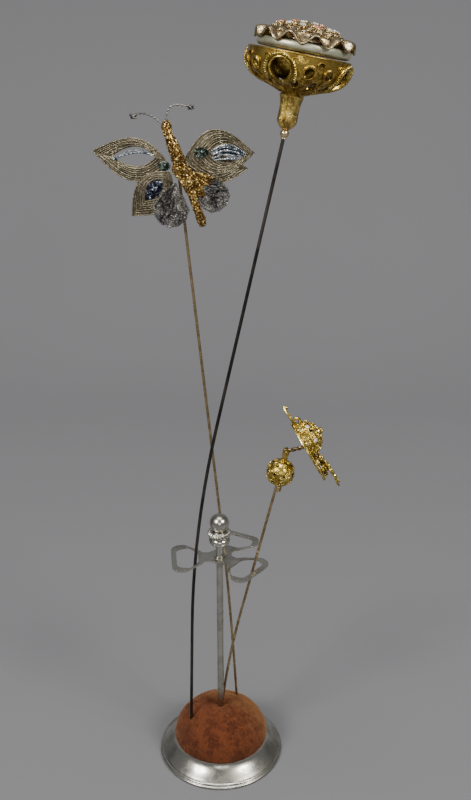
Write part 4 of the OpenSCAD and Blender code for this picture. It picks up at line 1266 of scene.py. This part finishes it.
def jewelled_top():
    """The pierced dome with its curls, cups and stones."""
    profile = [(2.1, 35.2), (15.4, 34.2), (15.8, 34.5)] + [
        (r, dome_height(r)) for r in (15.6, 15.2, 14.4, 13.2, 11.6, 9.8, 7.8, 5.6, 3.4, 2.1)]
    shell = add_object("dome_shell", Shape().lathe(profile, 96, loop=True).mesh("dome_shell", top_place),
                       ["rose_gilt"])
    bed = Shape().grid([[dome_frame(r, 360 * (j + 0.5 * (ring % 2)) / 20, 0.25).translation for j in range(20)]
                        for ring, r in enumerate((3.6, 7.8, 12.9, 14.8))])
    wires = grow("dome_curls", bed.mesh("dome_curls", top_place), "curl", "rose_gilt", size=1.25, wire=0.3, seed=24)
    give(join_pieces("jewelled_dome", sharpen(shell, 50), wires), "basket_pin", "rose_gilt", "top_dome")

    cups, clear, coral = Shape(), Shape(), Shape()
    for spot, is_coral in stone_seats():
        cups.join(claw_cup(1.45), spot)
        (coral if is_coral else clear).join(cut_stone(1.42), spot)
    give(sharpen(add_object("dome_stone_cups", cups.mesh("dome_stone_cups", top_place), ["pale_gilt"]), 50),
         "basket_pin", "pale_gilt", "stone_cups")
    for name, stones, slot, node in (("dome_clear_stones", clear, "clear_paste", "clear_stones"),
                                     ("dome_coral_stones", coral, "coral_paste", "coral_stones")):
        made = add_object(name, stones.mesh(name, top_place), [slot])
        give(flat_faces(made), "basket_pin", slot, node)
    nut = Shape().lathe([(0, 41.9), (0.9, 41.8), (1.5, 41.5), (2.1, 41.2), (2.2, 40.9), (2.0, 40.6),
                         (0.95, 40.5), (0, 40.5)], 32)
    give(sharpen(add_object("dome_button", nut.mesh("dome_button", basket_place), ["pale_gilt"]), 60),
         "basket_pin", "pale_gilt", "tie_nut")


# ---- The butterfly pin ----

def leaf(root, tip, up, down, steps=44):
    """A pointed leaf from root to tip that bulges by up and down on its two sides."""
    root, tip = Vector(root), Vector(tip)
    side = Vector((root.y - tip.y, tip.x - root.x)).normalized()
    def swell(t):
        return math.sin(math.pi * t ** 0.85)
    lower = [root + (tip - root) * (i / steps) - side * down * swell(i / steps) for i in range(steps + 1)]
    upper = [root + (tip - root) * (i / steps) + side * up * swell(i / steps) for i in range(steps - 1, 0, -1)]
    return lower + upper


def wing_frame(depth, sweep):
    """A wing's frame: X outwards, Y up, and Z towards the front."""
    return (Matrix.Rotation(math.radians(sweep), 4, "Z") @ Matrix.Translation((0, depth, 0))
            @ Matrix.Rotation(math.radians(90), 4, "X"))


def wire_rows(outer, hole, count, wander, cup=1.2):
    """Closed rows of wire from a wing's edge in to its opening."""
    rows = []
    size = max(p.length for p in outer)
    for k in range(count):
        t = k / (count - 1)
        row = []
        for i, (a, b) in enumerate(zip(outer, hole)):
            spot = a.lerp(b, t ** 0.92)
            stray = wander.uniform(-0.05, 0.05) + 0.06 * math.sin(i * 0.31 + k * 1.9)
            away = (b - a).normalized() if (b - a).length > 0.01 else Vector((0, 0))
            spot = spot + away * stray
            lift = 0.35 * math.sin(math.pi * t) - cup * (spot.length / size) ** 2
            row.append(Vector((spot.x, spot.y, lift + 0.16 * (-1) ** k)))
        rows.append(row)
    return rows


def wing(name, node, outer, hole, depth, sweep, count, looks, radius=0.3, seed=1):
    """One wing: rows of wound wire with cross threads that bind them, over a near-black sheet of painted shade."""
    wander = random.Random(seed)
    rows = wire_rows(leaf(*outer), leaf(*hole), count, wander)
    place = hub_place @ wing_frame(depth, sweep)
    parts = []
    for look in sorted(set(looks)):
        paths = Shape()
        for k, row in enumerate(rows):
            if looks[k % len(looks)] == look:
                paths.path(row, closed=True)
        parts.append(grow(name + look, paths.mesh(name, place), "wire", look, radius=radius, sides=7))
    ties = Shape()
    for i in range(2, len(rows[0]), 5):
        ties.path([row[(i + int(1.3 * k)) % len(row)] + Vector((0, 0, 0.26)) for k, row in enumerate(rows)])
    parts.append(grow(name + "ties", ties.mesh(name, place), "wire", "wing_wire_grey", radius=0.085, sides=4))
    # A near-black sheet just behind the rows: painted shade between the wires.
    back = Shape().grid([[p - Vector((0, 0, 0.42)) for p in row] for row in rows])
    parts.append(add_object(name + "back", back.mesh(name, place), ["wing_backing"]))
    give(join_pieces(name, *parts), "butterfly_pin", "wing_wire", node)


def wings():
    plain = ["wing_wire", "wing_wire_grey", "wing_wire", "wing_wire", "wing_wire_grey"]
    mixed = ["wing_wire_grey", "wing_wire", "wing_wire_grey", "wing_wire_bright", "wing_wire"]
    gold = ["wing_wire", "wing_wire_bright", "wing_wire", "wing_wire_bright"]
    wing("forewing_left_wires", "forewing_left", ((-3.4, 0.8), (-35.3, 5.8), 8.6, 8.4),
         ((-8.8, 4.4), (-27.8, 4), 4, 4.2), -0.1, -10, 8, plain, 0.26, 11)
    wing("forewing_right_wires", "forewing_right", ((2.8, 3.6), (31, 5.4), 10.6, 8),
         ((13, 6.2), (27.8, 4.6), 4.0, 3.8), -1.1, 10, 9, mixed, 0.27, 12)
    wing("hindwing_left_wires", "hindwing_left", ((-3, -1.2), (-19.6, -19.6), 8.4, 6.8),
         ((-6.2, -4.2), (-13.4, -12.6), 3.2, 3), -1.1, -10, 8, gold, 0.28, 13)
    wing("hindwing_right_wires", "hindwing_right", ((3, -0.6), (28.6, -1), 6, 6),
         ((10, -0.7), (22, -0.9), 2.2, 2.2), -0.1, 10, 8, gold, 0.27, 14)


def tail_fan(name, node, centre, radius, root, depth, sweep, seed):
    """A loose net of fine wire, gathered at the root and scalloped round its edge."""
    net = Shape()
    rings, spokes = 9, 26
    centre, root = Vector(centre), Vector(root)
    points = []
    for i in range(rings + 1):
        t = i / rings
        for j in range(spokes):
            a = TURN * j / spokes
            scallop = 1 + 0.05 * math.cos(11 * a) * t
            rim = centre + Vector((math.cos(a), math.sin(a))) * radius * scallop
            pull = max(0.0, (root - centre).normalized().dot((rim - centre).normalized())) ** 3
            rim = rim.lerp(root, pull * 0.85)
            spot = centre.lerp(rim, (t * 0.94 + 0.06) ** 0.8)
            points.append(Vector((spot.x, spot.y, 0.5 * math.sin(5 * a + 4 * t))))
    net.points = points
    for i in range(rings + 1):
        for j in range(spokes):
            here = i * spokes + j
            net.edges.append((here, i * spokes + (j + 1) % spokes))
            if i < rings:
                net.edges.append((here, (i + 1) * spokes + (j + (i % 2)) % spokes))
                net.edges.append((here, (i + 1) * spokes + (j + 1 - (i % 2)) % spokes if i % 2 else
                                  (i + 1) * spokes + (j - 1) % spokes))
    place = hub_place @ wing_frame(depth, sweep)
    lace = grow(name + "net", net.mesh(name, place), "lace", "dark_wire", wire=0.19, bead=0.42,
                jitter=0.45, seed=seed)
    edge = Shape().path(points[-spokes:], closed=True)
    border = grow(name + "edge", edge.mesh(name, place), "coil", "dark_wire", coil=0.45, pitch=0.9, wire=0.19)
    sparks = Shape()
    wander = random.Random(seed)
    for point in wander.sample(points, 90):
        sparks.join(Shape().add(*chip(0.34)), Matrix.Translation(point + Vector((0, 0, 0.35)))
                    @ Euler([wander.uniform(0, 6) for _ in range(3)]).to_matrix().to_4x4())
    beads = flat_faces(add_object(name + "sparks", sparks.mesh(name, place, weld=False), ["clear_paste"]))
    give(join_pieces(name, lace, border, beads), "butterfly_pin", "dark_wire", node)


def chip(r):
    """A tiny eight-sided bright chip."""
    points = [(r, 0, 0), (-r, 0, 0), (0, r, 0), (0, -r, 0), (0, 0, r), (0, 0, -r)]
    faces = [[0, 2, 4], [2, 1, 4], [1, 3, 4], [3, 0, 4], [2, 0, 5], [1, 2, 5], [3, 1, 5], [0, 3, 5]]
    return points, faces


def tail_fans():
    tail_fan("tail_fan_left_net", "tail_fan_left", (-3, -16.2), 6.7, (-1.2, -5), -1.5, -2, 31)
    tail_fan("tail_fan_right_net", "tail_fan_right", (14, -11), 6.1, (5, -6), -1.9, 10, 32)


def beaded_body():
    """Head, chest and belly of cut bullion over a wound core."""
    cores = Shape()
    runs = (
        ("thorax", Vector((1.3, -4.2, 2.4)), Vector((-4.7, 1, 12.2)), 14.6, (2.1, 2.35, 2.1, 2.0, 1.45, 1.3)),
        ("abdomen", Vector((1.1, -4.2, 2.8)), Vector((9, 0.6, -25)), 26.6, (2.4, 2.7, 2.2, 1.5, 1.25, 1.3, 1.6, 1.2)),
    )
    for _, start, way, length, swell in runs:
        way = way.normalized()
        count = len(swell)
        path, radii = [], []
        for i in range(33):
            t = i / 32 * (count - 1)
            k = min(int(t), count - 2)
            radii.append((swell[k] * (1 - t + k) + swell[k + 1] * (t - k)) * (0.35 if i in (0, 32) else 1))
            path.append(start + way * length * i / 32)
        cores.tube(path, radii, 16)
    cores.ball((-3.9, -2.6, 16.9), 1.75, 14, squash=1.3)
    cores.ball((0.6, -2.6, 0.6), 2.5, 14, squash=1.4)
    core = add_object("body_core", cores.mesh("body_core", hub_place), ["bullion"])
    grains = grow("body_grains", core.data.copy(), "grain", "bullion", apart=0.62, grain=0.52, seed=41)
    give(join_pieces("bullion_body", core, grains), "butterfly_pin", "bullion",
         "body_head", "body_thorax", "body_abdomen")


def bullion_sprays():
    """Rays of bullion that fan out over the right tail, and small ones on the left."""
    rays = Shape()
    wander = random.Random(52)
    for i in range(17):
        turn = math.radians(-12 - 3.6 * i)
        x, z = 2.4 + 14.2 * math.cos(turn), -0.4 + 13.2 * math.sin(turn)
        lift = wander.uniform(-0.8, 0.8)
        reach = wander.uniform(0.74, 0.98)
        rays.path([Vector((3.2 + (x * reach - 3.2) * t, -2.6 + lift * t - 0.8 * math.sin(math.pi * t),
                           -0.8 + (z * reach + 0.8) * t + 0.5 * math.sin(math.pi * t)))
                   for t in (step / 14 for step in range(15))])
    coils = grow("ray_coils", rays.mesh("ray_coils", hub_place), "coil", "bullion", coil=0.42, pitch=0.62, wire=0.2)
    wires = Shape()
    wires.points = [p.copy() for p in rays.points]
    wires.edges = list(rays.edges)
    cores = grow("ray_cores", wires.mesh("ray_cores", hub_place), "wire", "bullion", radius=0.38, sides=8)
    beads = Shape()
    for point in rays.points[3::2]:
        for _ in range(2):
            stray = Vector([wander.uniform(-0.8, 0.8) for _ in range(3)])
            beads.join(Shape().add(*chip(0.46)), Matrix.Translation(point + stray)
                       @ Euler([wander.uniform(0, 6) for _ in range(3)]).to_matrix().to_4x4())
    chips = flat_faces(add_object("ray_chips", beads.mesh("ray_chips", hub_place, weld=False), ["bullion"]))
    give(join_pieces("bullion_sprays", coils, cores, chips), "butterfly_pin", "bullion", "bullion_rays")


def curved(points, steps=10):
    """A smooth path through a few points."""
    points = [Vector(p) for p in points]
    ends = [2 * points[0] - points[1]] + points + [2 * points[-1] - points[-2]]
    path = []
    for a, b, c, d in zip(ends, ends[1:], ends[2:], ends[3:]):
        for i in range(steps):
            t = i / steps
            path.append(0.5 * (2 * b + (c - a) * t + (2 * a - 5 * b + 4 * c - d) * t * t
                               + (3 * b - a - 3 * c + d) * t ** 3))
    return path + [points[-1]]


def antenna(name, node, points, depth=-3.0):
    """A feeler of thin wire strung with small dark beads, and a cluster at its end."""
    path = curved([(x, depth, z) for x, z in points])
    line = Shape().path(path)
    wire = grow(name + "wire", line.mesh(name, hub_place), "wire", "dark_wire", radius=0.2, sides=6)
    beads = grow(name + "beads", Shape().path(path[4:]).mesh(name, hub_place), "bead row", "dark_wire",
                 spacing=1.45, bead=0.48)
    bright = grow(name + "bright", Shape().path(path[2:]).mesh(name, hub_place), "bead row", "pale_gilt",
                  spacing=2.6, bead=0.4)
    cluster = Shape()
    end = path[-1]
    for x, y, z, r in ((0, 0, 0, 0.75), (0.9, 0.2, 0.3, 0.6), (-0.7, -0.3, 0.55, 0.55), (-0.4, 0.3, -0.6, 0.5),
                       (0.5, -0.4, -0.5, 0.5), (1.3, 0, -0.5, 0.4)):
        cluster.ball(end + Vector((x, y, z)), r * 1.1, 8)
    knob = add_object(name + "knob", cluster.mesh(name, hub_place), ["dark_wire"])
    give(join_pieces(name, wire, beads, bright, knob), "butterfly_pin", "dark_wire", node)


def antennae():
    antenna("antenna_left_beads", "antenna_left",
            ((-5.4, 18.0), (-9.4, 20.9), (-12.4, 21.9), (-14.8, 21.8), (-16.9, 20.9)))
    antenna("antenna_right_beads", "antenna_right",
            ((-3.9, 18.6), (-3.4, 22.4), (-2.0, 24.6), (1.2, 25.2), (5.4, 24.4)))


def tinsel_strands():
    """Strings of bright beads and dark strands across the openings of the forewings."""
    left = hub_place @ wing_frame(-0.3, -10)
    right = hub_place @ wing_frame(-1.3, 10)
    parts = []
    strands = (
        (left, ((-26.5, 3.0, 0), (-21, 5.2, 0.4), (-15, 6.2, 0.5), (-9.8, 5.2, 0)), 0.5, 0.42),
        (left, ((-26, 3.6, -0.3), (-20, 6.3, 0), (-14, 7.0, 0)), 0.75, 0.3),
        (right, ((13.6, 7.0, 0.2), (18, 9.0, 0.6), (23, 8.2, 0.6), (27, 5.4, 0.2)), 0.6, 0.45),
        (right, ((14, 4.0, 0.2), (18.5, 5.4, 0.6), (24, 4.6, 0.3)), 0.6, 0.4),
    )
    for i, (place, points, spacing, bead) in enumerate(strands):
        line = Shape().path(curved(points))
        parts.append(grow(f"strand_{i}", line.mesh("strand", place), "bead row", "tinsel", spacing=spacing, bead=bead))
    for i, points in enumerate((((14, 6.4, -0.3), (18, 8.2, 0), (23, 7.4, 0), (27, 5.0, -0.2)),
                                ((13.6, 5.2, -0.3), (18, 6.9, 0.1), (23, 6.2, 0.1), (26.6, 4.4, -0.2)),
                                ((14.4, 3.2, -0.3), (19, 3.6, 0), (23.6, 3.4, 0)))):
        line = Shape().path(curved(points))
        parts.append(grow(f"ribbon_{i}", line.mesh("ribbon", right), "wire", "blue_foil", radius=0.5, sides=6))
    give(join_pieces("forewing_tinsel_strands", *parts), "butterfly_pin", "tinsel", "forewing_tinsel")


def crumpled_leaf(outline, depth, sweep, crumple, seed):
    """A flat leaf of foil, crumpled a little."""
    wander = random.Random(seed)
    edge = leaf(*outline, steps=16)
    mid = sum(edge, Vector((0, 0))) / len(edge)
    rows = []
    for i in range(6):
        t = i / 5
        rows.append([Vector((*mid.lerp(p, t), wander.uniform(-crumple, crumple) * (1 - 0.5 * t))) for p in edge])
    rows[0] = [Vector((*mid, crumple))] * len(edge)
    front = Shape().grid(rows)
    back = Shape().grid([[p - Vector((0, 0, 0.25)) for p in row] for row in rows])
    return front.join(back), hub_place @ wing_frame(depth, sweep)


def foils():
    parts = []
    for i, (outline, depth, sweep, look, seed) in enumerate((
            (((-6.0, -4.0), (-13.8, -13.0), 3.5, 3.3), -0.9, -10, "blue_foil", 61),
            (((15, 6.6), (27.4, 5.2), 1.9, 1.1), -0.5, 10, "blue_foil", 62))):
        shape, place = crumpled_leaf(outline, depth, sweep, 0.45, seed)
        parts.append(add_object(f"foil_{i}", shape.mesh("foil", place), [look]))
    sparks = Shape()
    wander = random.Random(63)
    for _ in range(26):
        t, u = wander.uniform(0.12, 0.88), wander.uniform(-1, 1)
        spot = Vector((-6.0 - 7.8 * t, -4.0 - 9 * t)) + Vector((-9, 7.8)).normalized() * u * 2.6 * math.sin(math.pi * t)
        sparks.join(Shape().add(*chip(0.45)), Matrix.Translation((spot.x, spot.y, 0.3))
                    @ Euler([wander.uniform(0, 6) for _ in range(3)]).to_matrix().to_4x4())
    place = hub_place @ wing_frame(-1.1, -10)
    parts.append(flat_faces(add_object("foil_sparks", sparks.mesh("foil_sparks", place, weld=False), ["tinsel"])))
    give(join_pieces("wing_foils", *parts), "butterfly_pin", "blue_foil", "hindwing_foil")


def glass_eyes():
    """Domed green foil eyes in rings of bright wire."""
    parts = []
    for i, (x, z, r, depth, sweep) in enumerate(((9.2, 6.4, 1.35, -1.3, 10), (-5.4, 1.2, 1.1, -0.5, -10))):
        place = (hub_place @ wing_frame(depth, sweep) @ Matrix.Translation((x, z, 0.2))
                 @ Matrix.Diagonal((1.25, 0.85, 0.7, 1)))
        dome = Shape().lathe([(0, 0.95 * r * 0.5)] + [(r * math.sin(t), r * 0.5 * math.cos(t)) for t in (
            math.radians(d) for d in range(15, 91, 15))] + [(r, -0.3), (0, -0.3)], 24)
        parts.append(add_object(f"eye_{i}", dome.mesh("eye", place), ["green_foil"]))
        hoops = Shape()
        for k in range(2):
            hoops.path([Vector(((r + 0.3 + 0.5 * k) * math.cos(TURN * j / 40), (r + 0.3 + 0.5 * k)
                                * math.sin(TURN * j / 40), 0.1)) for j in range(40)], closed=True)
        parts.append(grow(f"hoop_{i}", hoops.mesh("hoop", place), "wire", "wing_wire", radius=0.26, sides=6))
    give(join_pieces("wing_glass_eyes", *parts), "butterfly_pin", "green_foil", "wing_eyes")


# ---- The plaque pin ----

def wound_collar():
    """Five turns of wire below the ball."""
    low = (middle("wrap_collar") - middle("filigree_ball")).length / MM
    path = Shape().path([Vector((0, 0, -low - 2.1 + 4.3 * i / 20)) for i in range(21)])
    made = grow("wound_collar", path.mesh("wound_collar", ball_place), "coil", "brown_brass",
                coil=1.15, pitch=0.86, wire=0.44)
    give(made, "plaque_pin", node_slots["wrap_collar"], "wrap_collar")


def filigree_ball():
    """The pierced ball with curled wire and grains laid over it."""
    shell = soften("filigree_ball", edge=0, name="ball_shell")
    seats = bmesh.new()
    bmesh.ops.create_icosphere(seats, subdivisions=2, radius=5.85)
    bed = bpy.data.meshes.new("ball_bed")
    seats.transform(ball_place)
    seats.to_mesh(bed)
    seats.free()
    curls = grow("ball_curls", bed, "curl", "bright_gilt", size=1.25, wire=0.26, seed=4)
    belts = Shape()
    for z in (-2.6, 2.6):
        r = math.sqrt(6.0 ** 2 - z ** 2)
        belts.path([Vector((r * math.cos(TURN * j / 60), r * math.sin(TURN * j / 60), z)) for j in range(60)],
                   closed=True)
    beads = grow("ball_beads", belts.mesh("ball_beads", ball_place), "bead row", "bright_gilt", spacing=0.8, bead=0.3)
    give(join_pieces("filigree_ball_wires", shell, curls, beads), "plaque_pin", node_slots["filigree_ball"],
         "filigree_ball")


def knuckle_pieces():
    give(soften("knuckle", edge=0.12, name="knuckle_fork"), "plaque_pin", node_slots["knuckle"], "knuckle")
    give(soften("knuckle_rivet", edge=0.1, name="knuckle_pin"), "plaque_pin",
         node_slots["knuckle_rivet"], "knuckle_rivet")


def twisted_arm():
    """The arm: an eye on the rivet and two strands twisted together out to the plaque."""
    start = plaque_place.inverted() @ middle("knuckle_rivet")
    end = Vector((0, 0, -0.1))
    way = (end - start).normalized()
    side = Vector((0, 1, 0))
    up = way.cross(side).normalized()
    arm = Shape()
    length = (end - start).length
    for shift in (0, math.pi):
        path = []
        for i in range(91):
            t = 1.0 + (length - 1.0) * i / 90
            a = shift + t * 1.35
            path.append(start + way * t + (side * math.cos(a) + up * math.sin(a)) * 0.46)
        arm.tube(path, 0.5, 8)
    eye = [start + (way * math.cos(TURN * i / 24) + up * math.sin(TURN * i / 24)) * 0.85 for i in range(24)]
    arm.tube(eye, 0.38, 8, closed=True)
    made = add_object("twisted_arm_wires", arm.mesh("twisted_arm_wires", plaque_place), [node_slots["twisted_arm"]])
    give(made, "plaque_head", node_slots["twisted_arm"], "twisted_arm")


def grains_on(name, shape, place, look, apart, grain, seed):
    return grow(name, shape.mesh(name, place), "grain", look, apart=apart, grain=grain, seed=seed)


def plaque_sheet():
    """The plate, with a bright rim and grains over its face."""
    plate = soften("plaque_plate", edge=0.2, name="plate_sheet")
    rim = Shape().path([Vector((p.x, p.y, 0.75)) for p in leaf((-11.4, 0), (18.0, 0), 10.5, 10.5)], closed=True)
    beads = grow("plate_beads", rim.mesh("plate_beads", plaque_place), "bead row", "bright_gilt",
                 spacing=0.95, bead=0.5)
    face = Shape()
    outer, mid = leaf((-10.4, 0), (16.6, 0), 9.6, 9.6, 20), Vector((2, 0))
    face.grid([[Vector((*mid.lerp(p, t), 0.8)) for p in outer] for t in (0.02, 0.35, 0.7, 1.0)])
    grains = grains_on("plate_grains", face, plaque_place, "bright_gilt", 0.95, 0.5, 71)
    give(join_pieces("plaque_sheet", plate, beads, grains), "plaque_head", node_slots["plaque_plate"], "plaque_plate")


def plaque_leaves():
    """The smooth top leaf, the curl beside it and the grained tail leaf."""
    top = soften("top_leaf", edge=0.22, name="top_leaf_smooth")
    bead = Shape().ball((-19.4, 0.3, 2.0), 0.75, 12)
    pearl = add_object("leaf_pearl", bead.mesh("leaf_pearl", plaque_place), ["clear_paste"])
    spot = Shape().ball((-16.2, -0.6, 1.7), 0.6, 10, squash=0.5)
    coral = add_object("leaf_coral", spot.mesh("leaf_coral", plaque_place), ["coral_paste"])
    give(join_pieces("top_leaf_smooth", top, pearl, coral), "plaque_head", node_slots["top_leaf"], "top_leaf")

    tail = soften("tail_leaf", edge=0.2, name="tail_sheet")
    edge, leaf_mid = leaf((10, -1.2), (22, -2.9), 3.4, 2.5, 12), Vector((15.5, -2))
    bed = Shape().grid([[Vector((*leaf_mid.lerp(p, t), 5.1)) for p in edge]
                        for t in (0.05, 0.5, 1.0)])
    grains = grains_on("tail_grains", bed, plaque_place, "bright_gilt", 0.8, 0.5, 72)
    sparks = Shape()
    for x, y in ((12.5, -1.5), (15.2, -1.2), (15.4, -3.0), (18.2, -2.4), (20.6, -2.8)):
        sparks.join(cut_stone(0.75), Matrix.Translation((x, y, 5.4)))
    stones = flat_faces(add_object("tail_stones", sparks.mesh("tail_stones", plaque_place), ["clear_paste"]))
    give(join_pieces("tail_leaf_grained", tail, grains, stones), "plaque_head", node_slots["tail_leaf"], "tail_leaf")


def curl_wire(at, size, turns, place_out, wire):
    """One flat curl of wire whose plane faces along place_out."""
    local = Matrix.Translation(at) @ Vector((0, 0, 1)).rotation_difference(place_out).to_matrix().to_4x4()
    path = [Vector((size * (1 - 0.75 * t) * math.cos(turns * TURN * t), size * (1 - 0.75 * t)
                    * math.sin(turns * TURN * t), 0)) for t in (i / 26 for i in range(27))]
    return Shape().join(Shape().tube(path, wire, 7), local)


def plaque_crown():
    """The boss: a dome built up of curls and grains, with a pod above it."""
    boss = soften("plaque_boss", edge=0, name="boss_shell")
    curls = Shape()
    at = Vector((-3, 0, 0.7))
    for ring, (tilt, count) in enumerate(((0, 1), (34, 6), (66, 10), (88, 14))):
        for i in range(count):
            a = TURN * (i + 0.5 * ring) / count
            out = Vector((math.sin(math.radians(tilt)) * math.cos(a), math.sin(math.radians(tilt)) * math.sin(a),
                          math.cos(math.radians(tilt))))
            spot = at + Vector((out.x * 7.1, out.y * 7.1, 1.4 + out.z * 7.2))
            curls.join(curl_wire(spot, 1.35, 1.6, out, 0.36))
    pod = [Vector((-8.2, 0, 2.2)), Vector((-10.2, 0.6, 3.8)), Vector((-12.2, 0.4, 4.2)), Vector((-13.4, 0, 2.9)),
           Vector((-12.6, -0.4, 1.7)), Vector((-11.0, -0.2, 1.8))]
    curls.tube(curved(pod, 6), 0.62, 8)
    wander = random.Random(74)
    for i in range(34):
        t = (i + 0.5) / 34
        across = wander.uniform(-1, 1) * (6.0 - 3.4 * t)
        spot = Vector((3.5 + 11.5 * t, across, 1.3 + wander.uniform(0.4, 3.6) * (1 - 0.35 * t)))
        out = Vector((wander.uniform(-0.3, 0.6), wander.uniform(-0.8, 0.8), 1)).normalized()
        curls.join(curl_wire(spot, wander.uniform(0.9, 1.5), 1.6, out, 0.34))
        curls.tube([spot, Vector((spot.x, spot.y, 0.6))], 0.3, 6)
    wires = add_object("boss_curls", curls.mesh("boss_curls", plaque_place), ["bright_gilt"])
    grains = grow("boss_grains", boss.data.copy(), "grain", "bright_gilt", apart=0.85, grain=0.44, seed=73)
    give(join_pieces("plaque_crown", boss, wires, grains), "plaque_head", node_slots["plaque_boss"], "plaque_boss")


def plaque_seats():
    """Frames of the plaque's stones: on the plate, and on and round the boss."""
    thick = 0.7
    seats = [Matrix.Translation((x, y, thick + 0.9)) for x, y in (
        (-8.6, 4.4), (-9.4, -3.8), (8.2, 5.2), (7.4, -5), (11.6, 1.4), (10.4, -3.4), (6.2, 8.6), (4.8, -8.8),
        (-5.2, 8.2), (-4.6, -8.6))]
    seats.append(Matrix.Translation((-3, 0, thick + 9.0)))
    for i in range(6):
        seats.append(Matrix.Translation((-3, 0, thick + 1.4)) @ Matrix.Rotation(math.radians(i * 60 + 30), 4, "Z")
                     @ Matrix.Rotation(math.radians(62), 4, "Y") @ Matrix.Translation((0, 0, 7.2)))
    return seats


def plaque_jewels():
    cups, stones = Shape(), Shape()
    for seat in plaque_seats():
        cups.join(claw_cup(1.1, 1.1), seat)
        stones.join(cut_stone(1.1), seat)
    give(sharpen(add_object("plaque_claw_cups", cups.mesh("plaque_claw_cups", plaque_place), ["bright_gilt"]), 50),
         "plaque_head", "bright_gilt", "plaque_cups")
    made = add_object("plaque_cut_stones", stones.mesh("plaque_cut_stones", plaque_place), ["clear_paste"])
    give(flat_faces(made), "plaque_head", "clear_paste", "plaque_stones")


# ---- Pins and carried-over parts ----

def smooth_shanks():
    for node, body in (("basket_shank", "basket_pin"), ("butterfly_shank", "butterfly_pin"),
                       ("plaque_shank", "plaque_pin")):
        made = soften(node, edge=0, name=node.replace("shank", "wire"))
        give(made, body, node_slots[node], node)


def finish_nodes():
    """Finishes for the CAD nodes that stay as they are."""
    for name, node in frame["nodes"].items():
        node.data.materials.clear()
        node.data.materials.append(finishes[node_slots[name]])


set_camera()
set_room()
finish_nodes()

turned_dish()
turned_post()
looped_guide()
finial_pieces()
velvet_cushion()

round_bead()
ribbed_calyx()
pierced_bowl()
beaded_arches()
raised_curls()
rim_and_disc()
ruffled_collar()
jewelled_top()

wings()
tail_fans()
beaded_body()
bullion_sprays()
antennae()
tinsel_strands()
foils()
glass_eyes()

wound_collar()
filigree_ball()
knuckle_pieces()
twisted_arm()
plaque_sheet()
plaque_leaves()
plaque_crown()
plaque_jewels()

smooth_shanks()
